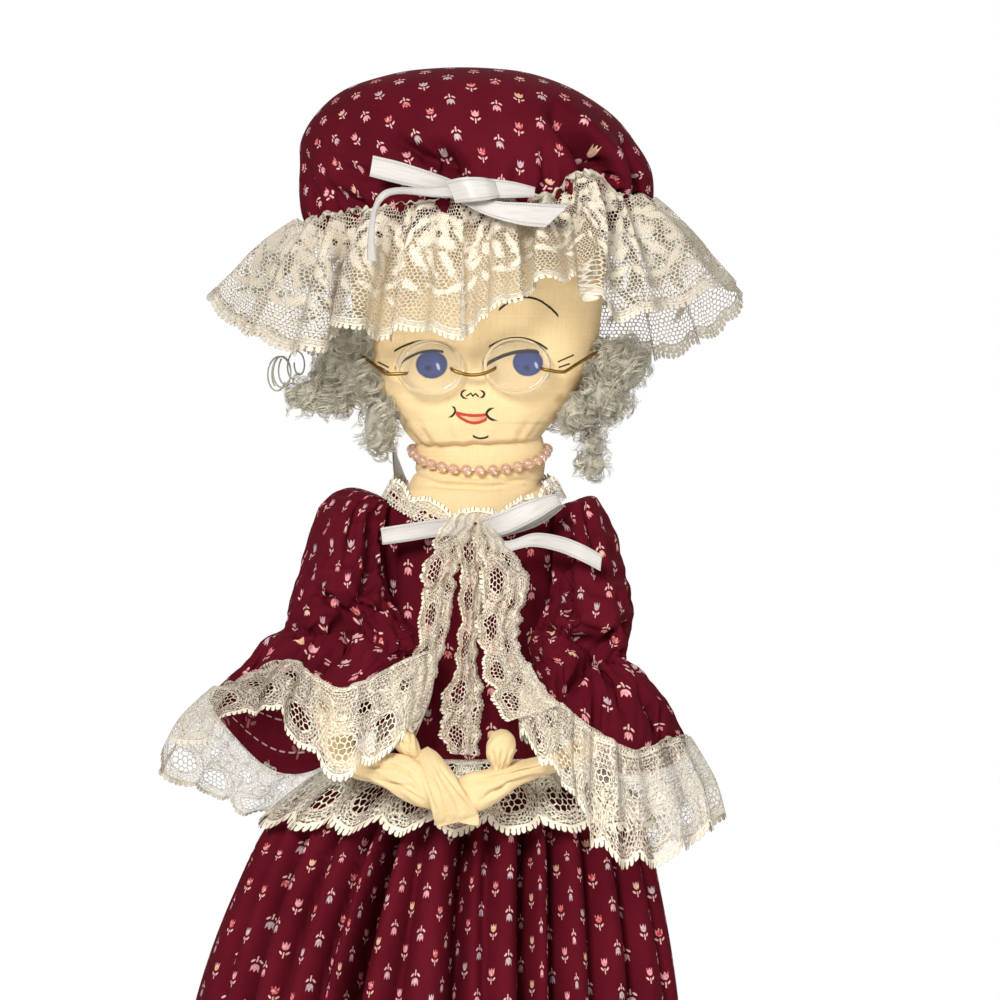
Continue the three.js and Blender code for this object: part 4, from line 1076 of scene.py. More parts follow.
class DOLL_OT_cap(bpy.types.Operator):
    """Gathered calico crown of the cap, with its elastic and its lace ruffle"""
    bl_idname = "doll.cap"
    bl_label = "Cap"

    def execute(self, context):
        self.crown()
        self.ruffle()
        return {"FINISHED"}

    def crown(self):
        """Ovals that swell from the gather over the band and close at the top, with tucks that are narrow
        dips at set turns; the cloth wants to be wider near the band, so it settles into gathers."""
        half_depth = 46.5 / 63
        rows, columns = 34, 120
        outline = [
            (57.0, -5, 0), (56.4, -5, 12), (54.6, -5, 25), (49.0, -6, 41), (40, -4.5, 53),
            (30.5, -3.1, 59.6), (21, -0.6, 62.6), (12, 0, 63.2), (5, 0, 62.2), (0, 0, 59.5), (-3, 0.4, 55),
            (-3.5, 0.5, 48)]
        tucks = [
            (-40, 9.0, 3.6, 0.42), (-54, 5.0, 3.0, 0.55), (-27, 5.0, 3.5, 0.5), (-97, 7.0, 3.4, 0.6),
            (-86, 4.0, 3.0, 0.66), (-118, 4.0, 4.0, 0.62), (-142, 3.6, 4.0, 0.55), (-70, 4.0, 3.0, 0.6),
            (-160, 3, 4, 0.6), (20, 4, 4, 0.55), (60, 4, 4, 0.5), (100, 4, 4, 0.55), (140, 4, 4, 0.5)]
        creases = [
            (13, 3.2, (558, 112), (592, 152), (620, 194)), (10, 3.4, (588, 148), (598, 178), (602, 212)),
            (7, 2.2, (628, 142), (642, 184), (640, 210)), (12, 3.2, (438, 146), (456, 168), (464, 192)),
            (8, 2.4, (398, 140), (430, 160), (448, 176)), (4, 2.0, (340, 168), (385, 178), (440, 190)),
            (3.0, 2.0, (299, 150), (306, 180), (320, 212)), (5, 2.4, (324, 186), (350, 202), (372, 214)),
            (4, 1.9, (545, 150), (548, 180), (540, 205)), (2.0, 1.6, (520, 160), (515, 185), (505, 205)),
            (-3.5, 4.0, (576, 118), (608, 150), (634, 186)),
            (-2.0, 3.0, (425, 165), (440, 175), (452, 190))]
        grid = ovals([(z, x, 0, a, a * half_depth) for z, x, a in outline], rows, columns)
        t, row = spread(rows, columns)
        low = np.clip((row - 0.62) / 0.38, 0, 1)
        front = np.clip(-np.sin(t), 0, 1) ** 1.5
        grid[..., 2] += low * (1.5 + CAP_TILT * grid[..., 0])
        grid[..., 1] += low ** 2 * front * 5
        dips = 0.8 * wander(t, 21, 26, 44) * low ** 1.5
        for turn, depth, wide, reach in tucks:
            away = turn_from(t, math.radians(turn)) + 0.1 * np.sin(row * 9 + turn)
            fade = np.clip((row - reach) / (0.95 - reach), 0, 1) ** 0.8
            dips = dips - depth * bell(away, math.radians(wide), 1.5) * fade
        start = pushed(grid, dips)
        more = 0.03 * np.clip((row - 0.4) / 0.2, 0, 1)
        rest = grid * np.stack([1 + 0.5 * low ** 2 + more, 1 + 0.5 * low ** 2 + more, 1 + more], -1)
        free = np.clip((1 - row) * 8, 0, 1) * np.ones_like(t)
        grid = settled(start, rest, free, 0.012, 260, 7.0)
        grid[0] = grid[0].mean(0)
        grid = creased(refined(grid, 3), creases)
        reach = running(gaps(grid, 0).mean(1))
        turned = np.linspace(0, TURN, grid.shape[1] + 1)
        disc = reach[:, None, None] * np.stack([np.cos(turned), np.sin(turned)], -1)[None]
        crown = piece("cap_crown_cloth", [(grid, True, disc)], calico_look(False), "head",
                      ["cap_crown", "cap_elastic"], sizes().cloth_wall, weld=True)
        wide = 2 * float(reach[-1])

    def ruffle(self):
        """Lace from a heading round the gather line down to a wavy edge; each control has its turn on the
        gather and its place on the edge, and small flutes grow towards the edge."""
        controls = [
            (180, 205, 297, 0), (194, 228, 326, -12), (206, 262, 342, -22), (218, 303, 359, -44),
            (228, 333, 341, -36), (238, 356, 335, -51), (247, 392, 345, -40), (257, 424, 335, -53),
            (266, 462, 343, -42), (276, 492, 316, -53), (286, 528, 297, -47), (296, 564, 286, -55),
            (306, 594, 274, -49), (313, 603, 322, -52), (322, 640, 321, -43), (332, 692, 305, -36),
            (345, 744, 286, -8), (357, 736, 322, 6), (12, 700, 344, 14), (26, 668, 358, 24),
            (44, 622, 350, 36), (64, 560, 346, 42), (84, 500, 343, 45), (104, 440, 343, 45),
            (124, 372, 348, 42), (142, 300, 350, 34), (162, 236, 328, 18)]
        rows, columns = 46, 760
        turn = np.radians([c[0] for c in controls])
        edge = drawn([c[1:] for c in controls])
        front = np.clip(-np.sin(turn), 0, 1) ** 1.5

        def round_band(grow, rise):
            along = (60.2 + grow) * np.cos(turn)
            height = 3.5 + CAP_TILT * along + 3 * front + rise
            return np.stack([along, (44.5 + grow) * np.sin(turn), height], -1)
        lift = bell(np.degrees(turn) - 309, 8)[:, None] * np.array([0, -5.0, 8.5])
        gather, heading = round_band(0.4, 0) + lift * 0.8, round_band(2.6, 2.2) + lift
        middle = gather * 0.5 + edge * 0.5 + [0, -1.0, 2.5]
        grid = rounded(spline([heading, gather, middle, edge], rows), columns)
        t, row = spread(rows, columns)
        pleat = np.sin(18 * t + 1.8 * wander(t, 31, 2, 6) + 0.7 * row * wander(t, 35, 3, 9))
        pleat = np.sign(pleat) * np.abs(pleat) ** 0.85 * (0.75 + 0.35 * wander(t, 34, 3, 9))
        calm = 1 - 0.65 * bell(np.degrees(t) - 300, 14)
        flutes = 5.4 * calm * (pleat + 0.5) * np.clip(row / 0.7, 0, 1) ** 0.6
        flutes = flutes + 1.4 * wander(t, 33, 40, 58) * np.clip(row / 0.6, 0, 1) ** 0.5
        frill = 1.0 * wander(t, 32, 60, 90) * np.clip(1 - row / 0.2, 0, 1)
        grid = pushed(grid, flutes + frill)
        width = sizes().cap_lace
        cloth = flat_cloth(grid, True, width, CAP_REPEAT)
        lace = piece("cap_lace_ruffle", [(grid, True, cloth)], lace_look("Cap lace", width), "head",
                     ["cap_lace"])


class DOLL_OT_hair(bpy.types.Operator):
    """Bunches of curled mohair at the sides and back of the head"""
    bl_idname = "doll.hair"
    bl_label = "Hair"

    def execute(self, context):
        left = [(347, 372, -8, 44, 42, 14), (308, 394, -8, 25, 20, 9), (333, 396, -9, 30, 22, 11),
                (379, 424, -9, 21, 36, 10), (352, 338, -12, 30, 22, 14)]
        right = [(622, 364, -8, 34, 33, 13), (606, 396, -9, 29, 29, 12), (579, 412, -9, 22, 24, 10),
                 (597, 446, -8, 11, 16, 6), (594, 464, -10, 16, 15, 7)]
        back = [(430, 330, 24, 74, 62, 12), (524, 330, 24, 74, 62, 12), (476, 380, 24, 84, 40, 11),
                (400, 390, 18, 40, 36, 11), (552, 390, 18, 40, 36, 11),
                (360, 356, 9, 26, 34, 13), (594, 356, 9, 26, 34, 13)]
        for number, (name, lumps, node) in enumerate((
                ("hair_left_curls", left, "hair_left"), ("hair_right_curls", right, "hair_right"),
                ("hair_back_curls", back, "hair_back"))):
            self.bunch(name, lumps, node, 40 + number)
        return {"FINISHED"}

    def bunch(self, name, lumps, node, seed):
        """Felted lumps are ellipsoids with a bumpy radius; on them lie locks, each a few strands that
        share one spiral: it circles round a line that falls along the lump while it narrows."""
        rng = np.random.default_rng(seed)
        lumps = np.asarray(lumps, float)
        centre = drawn(lumps[:, :3])
        radii = np.stack([lumps[:, 3] * STEP, lumps[:, 5], lumps[:, 4] * STEP], -1)
        rise, turn = np.linspace(0, math.pi, 28)[:, None], angles(40)[None, :]
        bumps = 1 + 0.06 * wander(turn * np.ones_like(rise), seed, 5, 12) * np.sin(rise)
        felt = centre[:, None, None] + radii[:, None, None] * ball(rise, turn) * bumps[..., None] * 0.77
        grey = np.broadcast_to([0.22, 0.3], (28, 41, 2))

        locks, each, points = sizes().locks, 8, 16
        weight = radii.prod(-1) ** (2 / 3)
        which = rng.choice(len(lumps), locks, p=weight / weight.sum())
        aim = unit(rng.normal(size=(locks, 3)) - [0, 0.6, 0])
        fall = np.array([0.0, 0.0, -0.7]) + 0.8 * rng.normal(size=(locks, 3))
        fall = unit(fall - aim * (fall * aim).sum(1, keepdims=True) * 0.75)
        first = unit(np.cross(fall, aim))
        second = np.cross(fall, first)
        share = np.linspace(0, 1, points)[None, None, :, None]

        def by_lock(values):
            return values.reshape(locks, 1, 1, -1)

        def by_strand(low, high):
            return rng.uniform(low, high, (locks, each, 1, 1))
        turns = by_lock(rng.uniform(0.8, 2.0, locks))
        spin = by_lock(rng.uniform(0, TURN, locks)) + by_strand(-0.7, 0.7) + share * turns * TURN
        curl = by_lock(rng.uniform(1.3, 3.2, locks)) * by_strand(0.7, 1.2) * (1.1 - 0.5 * share)
        root = centre[which] + radii[which] * aim * rng.uniform(0.74, 0.96, (locks, 1))
        run = by_lock(rng.uniform(4, 11, locks)) * (share - 0.4) + by_strand(-1.3, 1.3)
        paths = (by_lock(root) + by_lock(fall) * run
                 + curl * (np.cos(spin) * by_lock(first) + np.sin(spin) * by_lock(second)))
        paths = paths.reshape(-1, points, 3)
        radius = rng.uniform(0.05, 0.1, (len(paths), 1)) * np.ones(points)
        tone = np.clip(by_lock(rng.uniform(0, 1, locks)) * 0.6 + by_strand(0, 0.5), 0, 1).reshape(-1, 1, 1,
                                                                                                  1)
        tone = tone * np.ones((1, points, 4, 1))
        along = np.broadcast_to(share[0, :, :, None], tone.shape)
        parts = [(felt, True, grey), (tubes(paths, radius, 3), True, np.concatenate([tone, along], -1))]
        if name.startswith("hair_left"):
            parts.append(self.rings())
        piece(name, parts, hair_look(), "head", [node], weld=True)

    def rings(self):
        """Loose ring curls at the end of the left bunch: flat spirals of a few turns."""
        share = np.linspace(0, 1, 90)
        paths = []
        for across, down, wide, tall, turns, start in (
                (272, 373, 10.5, 16.5, 1.6, 0.4), (275, 371, 8, 15, 1.3, 2.0), (289, 364, 7, 13, 1.3, 1.2),
                (300, 402, 14, 9, 1.2, 3.6), (296, 398, 12, 11, 1.4, 2.4)):
            a = start + share * turns * TURN
            spots = np.stack([across + wide * np.cos(a) + 9 * share, down + tall * np.sin(a) - 5 * share,
                              -8 + 2.5 * np.sin(a * 0.7)], -1)
            paths.append(drawn(spots))
        tone = np.zeros((len(share), 7, 2))
        return tubes(paths, 0.32, 6), True, tone


class DOLL_OT_spectacles(bpy.types.Operator):
    """Clear oval lenses on bent gilt wire"""
    bl_idname = "doll.spectacles"
    bl_label = "Spectacles"

    def execute(self, context):
        marks = [
            (0, -0.95), (0.35, -0.9), (0.7, -0.8), (0.84, -0.72), (0.88, -0.9), (0.93, -1.15), (0.98, -0.9),
            (1, -0.2), (0.98, 0.4), (0.93, 0.6), (0.88, 0.4), (0.84, 0.25), (0.7, 0.2), (0.35, 0.1),
            (0, 0.05)]
        out, thick = np.split(spline(marks, 57), 2, axis=1)
        half_wide, half_tall = 12.2, 9.9
        t = angles(72)[None, :]
        for side, middle in (("left", (430.0, 367.0)), ("right", (516.5, 365.5))):
            lo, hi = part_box(f"lens_{side}")
            depth = ((lo.y + hi.y) / 2 - MIDDLE) / MM - 0.6
            x, _, z = drawn([*middle, 0])
            grid = stacked(x + half_wide * out * np.cos(t), depth + thick, z + half_tall * out * np.sin(t))
            share_map = stacked(out, np.zeros((1, 73)))
            piece(f"spectacle_lens_{side}", [(grid, True, share_map)], lens_look(), "head",
                  [f"lens_{side}"], weld=True)
        wires = {
            "bridge": ("spectacle_bridge", [
                (451, 367, -27.4), (452, 369, -30.6), (457, 371.5, -31.4), (466, 374, -31.6),
                (474, 374.6, -31.6), (484, 373, -31.6), (491, 370, -31.2), (494.5, 368.2, -30.4),
                (495.5, 366.6, -27.4)]),
            "temple_left": ("temple_left", [
                (406.5, 372, -27.4), (405, 373, -30.4), (398, 373.4, -30.8), (387, 373.4, -30.0),
                (382, 371, -28.6), (371, 362, -24), (357, 351.6, -18), (349, 346, -9)]),
            "temple_right": ("temple_right", [
                (541.5, 367.4, -27.4), (543, 368.4, -30.4), (552, 370.4, -30.8), (562, 371.4, -30.2),
                (567, 370, -28.6), (580, 361.5, -24), (596, 351.6, -18), (603, 347.5, -9)])}
        for name, (node, points) in wires.items():
            path = spline(drawn(points), 60)
            grid = tubes(path, sizes().wire / MM, 14)
            piece(f"wire_{name}", [(grid, True, flat_cloth(grid, True))], gold_look(), "head",
                  [node], weld=True)
        return {"FINISHED"}


class DOLL_OT_necklace(bpy.types.Operator):
    """String of beads round the neck, lower in front"""
    bl_idname = "doll.necklace"
    bl_label = "Necklace"

    def execute(self, context):
        count = 32
        t = angles(count, -math.pi / 2)
        wave = np.sin(t)
        drop = -79.2 + 7.5 * np.minimum(wave, 0) + 1.0 * np.maximum(wave, 0)
        centre = np.stack([1.2 + 24.2 * np.cos(t), 17.7 * wave, drop], -1)
        bead = ball(np.linspace(0, math.pi, 13)[:, None], angles(18)[None, :])
        size = sizes().bead / MM * (1 + 0.05 * np.random.default_rng(5).normal(size=(count, 1, 1, 1)))
        beads = centre[:, None, None] + bead * size
        string = tubes(np.concatenate([centre[-1:], centre, centre[:2]]), 0.35, 6, capped=False)[1:-1]
        parts = [(beads, True, np.zeros((13, 19, 2))), (string, True, np.zeros((count + 1, 7, 2)))]
        piece("necklace_beads", parts, pearl_look(), "body", ["necklace"], weld=True)
        return {"FINISHED"}


def sleeve_rows(stations, rim):
    """Closed rows of a sleeve at twelve turns: ovals between an inner and an outer place of the drawing,
    with a front and a back depth, and last the drawn rim."""
    t = angles(12)[:, None]
    rows = []
    for right, left, front, back in stations:
        a, b = drawn([*right, 0]), drawn([*left, 0])
        middle = (a + b) / 2 + [0, (front + back) / 2, 0]
        rows.append(middle + np.cos(t) * (a - b) / 2 + np.sin(t) * np.array([0, (back - front) / 2, 0]))
    return np.array([*rows, drawn(rim)])


SLEEVES = {
    "left": {
        "rows": [((390, 503), (374, 494), -9, 7), ((388, 508), (345, 489), -20, 13),
                 ((384, 530), (319, 508), -29, 16), ((383, 562), (302, 558), -36, 14),
                 ((388, 592), (290, 598), -42, 9), ((404, 620), (284, 622), -46, 5),
                 ((420, 634), (280, 632), -48, 2), ((426, 642), (264, 640), -51, -2),
                 ((430, 648), (246, 662), -54, -7)],
        "rim": [(432, 655, -42), (402, 704, -34), (352, 746, -24), (310, 774, -15), (270, 774, -11),
                (234, 742, -15), (209, 701, -27), (244, 682, -45), (290, 662, -59), (318, 679, -62),
                (345, 690, -62), (392, 668, -55)],
        "edge": [(414, 735, -50), (376, 768, -30), (322, 803, -14), (272, 832, -3), (238, 817, 0),
                 (194, 798, -8), (153, 770, -32), (226, 724, -66), (268, 708, -76), (303, 744, -74),
                 (340, 778, -70), (391, 752, -64)],
        "tack": (348, 619, -44),
        "creases": [
            (5.2, 2.1, (372, 514), (374, 550), (370, 584), (354, 612)),
            (5.9, 1.5, (350, 619), (325, 628), (300, 637)), (3.9, 1.4, (348, 615), (330, 600), (312, 585)),
            (5.9, 1.5, (351, 621), (345, 645), (325, 668)), (5.9, 1.7, (354, 621), (385, 640), (412, 655)),
            (3.9, 1.5, (356, 617), (385, 604), (410, 596)), (-2.5, 3.2, (356, 630), (368, 650), (374, 668)),
            (3.9, 1.7, (300, 640), (280, 665), (262, 682)), (3.1, 1.5, (322, 636), (308, 655), (300, 666)),
            (2.6, 1.4, (360, 500), (352, 530), (345, 562)), (-2, 3.0, (330, 612), (342, 606), (352, 606)),
            (3.1, 1.5, (266, 650), (246, 668), (228, 690)),
            (3.1, 1.4, (396, 622), (404, 640), (412, 652))]},
    "right": {
        "rows": [((578, 500), (560, 506), -9, 7), ((598, 499), (556, 511), -20, 13),
                 ((617, 535), (554, 536), -29, 16), ((627, 575), (553, 568), -36, 14),
                 ((633, 610), (550, 598), -42, 9), ((628, 642), (540, 622), -46, 4),
                 ((625, 660), (533, 638), -48, 1), ((641, 672), (531, 650), -51, -4),
                 ((667, 704), (534, 662), -54, -9)],
        "rim": [(687, 742, -26), (676, 766, -13), (640, 777, -7), (600, 772, -9), (570, 746, -19),
                (546, 704, -34), (531, 668, -46), (549, 694, -57), (572, 714, -62), (600, 736, -62),
                (632, 752, -56), (662, 743, -43)],
        "edge": [(721, 826, -24), (700, 842, -5), (660, 861, 1), (625, 852, 0), (590, 856, -6),
                 (560, 795, -28), (527, 742, -55), (545, 767, -68), (574, 796, -75), (600, 852, -71),
                 (642, 868, -64), (692, 848, -46)],
        "tack": (595, 650, -46),
        "creases": [
            (5.2, 2.1, (566, 516), (563, 556), (566, 600), (580, 634)),
            (7.2, 1.5, (538, 631), (565, 629), (594, 646)), (5.9, 1.5, (595, 652), (580, 670), (566, 692)),
            (5.9, 1.6, (596, 652), (610, 674), (622, 704)), (4.5, 1.4, (598, 648), (612, 636), (626, 626)),
            (5.9, 1.5, (597, 652), (616, 656), (634, 657)), (4.4, 1.7, (640, 690), (655, 714), (660, 736)),
            (3.4, 1.5, (600, 690), (596, 712), (598, 732)), (2.6, 1.3, (587, 506), (594, 540), (600, 578)),
            (2.6, 1.3, (570, 508), (572, 540), (570, 570)), (-2.2, 3.0, (580, 655), (572, 672), (560, 680)),
            (3.4, 1.5, (560, 668), (560, 684), (566, 700))]}}


class DOLL_OT_jacket(bpy.types.Operator):
    """Calico bodice and bell sleeves, each sleeve drawn in by a tack in front of the elbow"""
    bl_idname = "doll.jacket"
    bl_label = "Jacket"

    def execute(self, context):
        self.bodice()
        for side, shape in SLEEVES.items():
            self.sleeve(side, shape)
        return {"FINISHED"}

    def bodice(self):
        """Ovals a little larger than the body; the top edge dips in front; soft pleats run down."""
        stations = [(-93, -1.5, 0, 29, 19.6), (-98, -2, 0, 31, 21), (-106, -2.5, 0, 32.2, 22.2),
                    (-125, -2.5, 0, 32.8, 23.4), (-150, -2.5, 0, 32.6, 23.2), (-170, -2.5, 0, 32, 22.8),
                    (-182, -2.5, 0, 33, 23.6), (-190, -2.5, 0, 34.5, 25)]
        rows, columns = 60, 160
        grid = ovals(stations, rows, columns)
        t, row = spread(rows, columns)
        front = np.clip(-np.sin(t), 0, 1) ** 2
        grid[..., 2] -= (1 - row) ** 2 * 12 * front
        grid = pushed(grid, 0.7 * wander(t, 51, 8, 18) * (0.3 + row) + 0.4 * wander(t, 52, 24,
                                                                                    40) * row ** 3)
        cloth = flat_cloth(grid, True)
        bodice = piece("bodice", [(grid, True, cloth)], calico_look(False), "body",
                       ["bodice_front", "bodice_back"], sizes().cloth_wall)

    def sleeve(self, side, shape):
        """Cubic through the closed rows from the shoulder to the rim; the tack is sewn inward, and the cloth,
        cut a little larger than its shape, settles into folds between it and the seams."""
        rows, columns = 36, 76
        grid = rounded(spline(sleeve_rows(shape["rows"], shape["rim"]), rows), columns)
        t, row = spread(rows, columns)
        folds = wander(t + 0.5 * row, 61 if side == "left" else 62, 4, 12) * np.sin(np.pi * row) ** 0.7
        away = grid - drawn(shape["tack"])
        far = np.hypot(away[..., 0], away[..., 2])
        front = grid[..., 1] < np.median(grid[..., 1], axis=1, keepdims=True)
        sewn = front * bell(far, 7.0)
        start = pushed(grid, 0.8 * folds) + sewn[..., None] * np.array([0, 11.0, 2.0])
        middle = grid.mean(1, keepdims=True)
        rest = middle + (grid - middle) * 1.045
        rest[..., 2] *= 1.04
        free = np.clip((1 - row) * 12, 0, 1) * np.clip(row * 12, 0, 1) * np.where(sewn > 0.5, 0.0, 1.0)
        grid = creased(refined(settled(start, rest, free, 0.004, 420, 8.0), 3), shape["creases"])
        cloth = flat_cloth(grid, True)
        cloth = cloth - [0, cloth[-1, 0, 1]]
        nodes = [f"sleeve_{side}", f"sleeve_flounce_{side}", f"sleeve_elastic_{side}"]
        sleeve = piece(f"sleeve_cloth_{side}", [(grid, True, cloth)], calico_look(False), ARM_BEND,
                       nodes, sizes().cloth_wall)


class DOLL_OT_arms(bpy.types.Operator):
    """Muslin arms whose hands are tied in a knot, with two thumbs"""
    bl_idname = "doll.arms"
    bl_label = "Arms"

    def execute(self, context):
        arms = {
            "hand_left": ("arm_left", [
                (340, 560, -8, 16, 6), (330, 640, -20, 16, 5.5), (336, 735, -42, 17, 6),
                (356, 762, -50, 13, 6), (376, 766, -55, 15, 5.5), (398, 770, -58.5, 20, 5),
                (414, 778, -60, 20, 5), (428, 788, -60, 18, 4.5), (442, 798, -58, 11, 3),
                (447, 801, -57, 6, 2)], [
                (1.4, 0.64, (362, 764), (395, 762), (416, 772)),
                (1.3, 0.56, (372, 775), (402, 784), (424, 797)),
                (1.1, 0.56, (385, 758), (408, 766), (424, 786)),
                (1.0, 0.56, (390, 780), (410, 782), (424, 790))]),
            "hand_right": ("arm_right", [
                (588, 565, -8, 16, 6), (598, 650, -20, 16, 5.5), (590, 735, -42, 15, 6),
                (562, 757, -50, 10, 5.5), (540, 764, -53, 9.5, 5), (514, 772, -56, 12, 5),
                (492, 782, -58, 17, 5), (474, 789, -59, 20, 5), (456, 796, -57, 14, 3.5),
                (449, 799, -56, 7, 2)], [
                (1.4, 0.64, (552, 760), (520, 768), (488, 776)),
                (1.3, 0.56, (536, 772), (508, 780), (486, 796)),
                (1.1, 0.56, (515, 763), (498, 772), (478, 778)),
                (1.1, 0.56, (505, 784), (492, 788), (480, 798))]),
            "hand_wrap": ("hand_knot", [
                (421, 748, -55, 8, 2), (426, 757, -58, 14, 4), (435, 772, -62, 17, 5),
                (446, 790, -63.5, 18, 5), (455, 808, -62, 21, 3.6), (458, 817, -61, 21.5, 1.8),
                (458.4, 818.5, -61, 21, 1.2)], [
                (1.4, 0.64, (424, 756), (438, 785), (448, 814)),
                (1.3, 0.56, (434, 760), (450, 784), (462, 808)),
                (1.1, 0.56, (418, 756), (426, 778), (436, 806)),
                (1.0, 0.56, (440, 762), (456, 782), (470, 800))]),
            "thumb_bulb_left": ("thumb_left", [
                (420, 756, -56, 5, 2), (412, 747, -57, 9, 4.2), (405, 738, -57, 11, 4.8),
                (399, 730, -56, 8, 3.6), (396, 726, -56, 2, 1)],
                [(1.0, 0.48, (414, 750), (408, 742), (402, 736))]),
            "thumb_bulb_right": ("thumb_right", [
                (498, 774, -57, 9, 3), (499, 766, -58.5, 6, 3), (500, 757, -59, 12, 4.6),
                (501, 745, -59, 15, 5.2), (503, 733, -58.5, 11, 4.2), (504, 727, -58, 3, 1)], [
                (1.3, 0.48, (497, 768), (494, 758), (492, 748)),
                (1.3, 0.48, (500, 768), (501, 757), (502, 744)),
                (1.1, 0.48, (503, 767), (507, 757), (510, 748))])}
        rows, columns = 110, 72
        t, row = spread(rows, columns)
        for number, (name, (node, stations, creases)) in enumerate(arms.items()):
            s = np.asarray(stations, float)
            grid = limb(np.concatenate([drawn(s[:, :3]), s[:, 3:4] * STEP, s[:, 4:]], -1), rows, columns)
            grid[[0, -1]] = grid[[0, -1]].mean(1, keepdims=True)
            tucks = 0.35 * wander(t + 3 * row, 71 + number, 2, 9) * np.sin(np.pi * row)
            grid = creased(pushed(grid, tucks * (row > 0) * (row < 1)), creases)
            grid[[0, -1]] = grid[[0, -1]].mean(1, keepdims=True)
            body = ARM_BEND if name in ("hand_left", "hand_right") else "arms"
            made = piece(name, [(grid, True, flat_cloth(grid, True))], muslin_look(False), body,
                         [node], weld=True)
        return {"FINISHED"}


JABOTS = {
    "left": {
        "width": 0.027,
        "seed": 81,
        "heading": [
            (480, 514, -33), (472, 530, -36), (462, 556, -34), (456, 582, -31), (452, 613, -31.5),
            (443, 655, -38), (428, 697, -47), (412, 733, -58)],
        "outer": [
            (452, 512, -32), (434, 538, -34), (421, 572, -31), (418, 609, -32), (415, 648, -42),
            (404, 664, -54), (378, 684, -63)]},
    "right": {
        "width": 0.029,
        "seed": 83,
        "heading": [
            (490, 524, -34), (508, 546, -33), (530, 578, -31), (522, 618, -32), (521, 648, -40),
            (538, 680, -54), (560, 702, -62)],
        "outer": [
            (474, 520, -35), (474, 546, -37), (480, 575, -36), (476, 620, -36), (480, 667, -38),
            (490, 694, -46), (500, 722, -57)]},
    "middle": {
        "width": 0.024,
        "seed": 85,
        "heading": [
            (486, 526, -33), (486, 570, -32), (482, 615, -32), (477, 662, -32), (484, 690, -31),
            (482, 722, -31), (479, 757, -31)],
        "outer": [
            (456, 526, -32), (457, 570, -31), (458, 615, -32), (453, 668, -32), (440, 698, -32),
            (436, 725, -32), (447, 754, -31)]}}


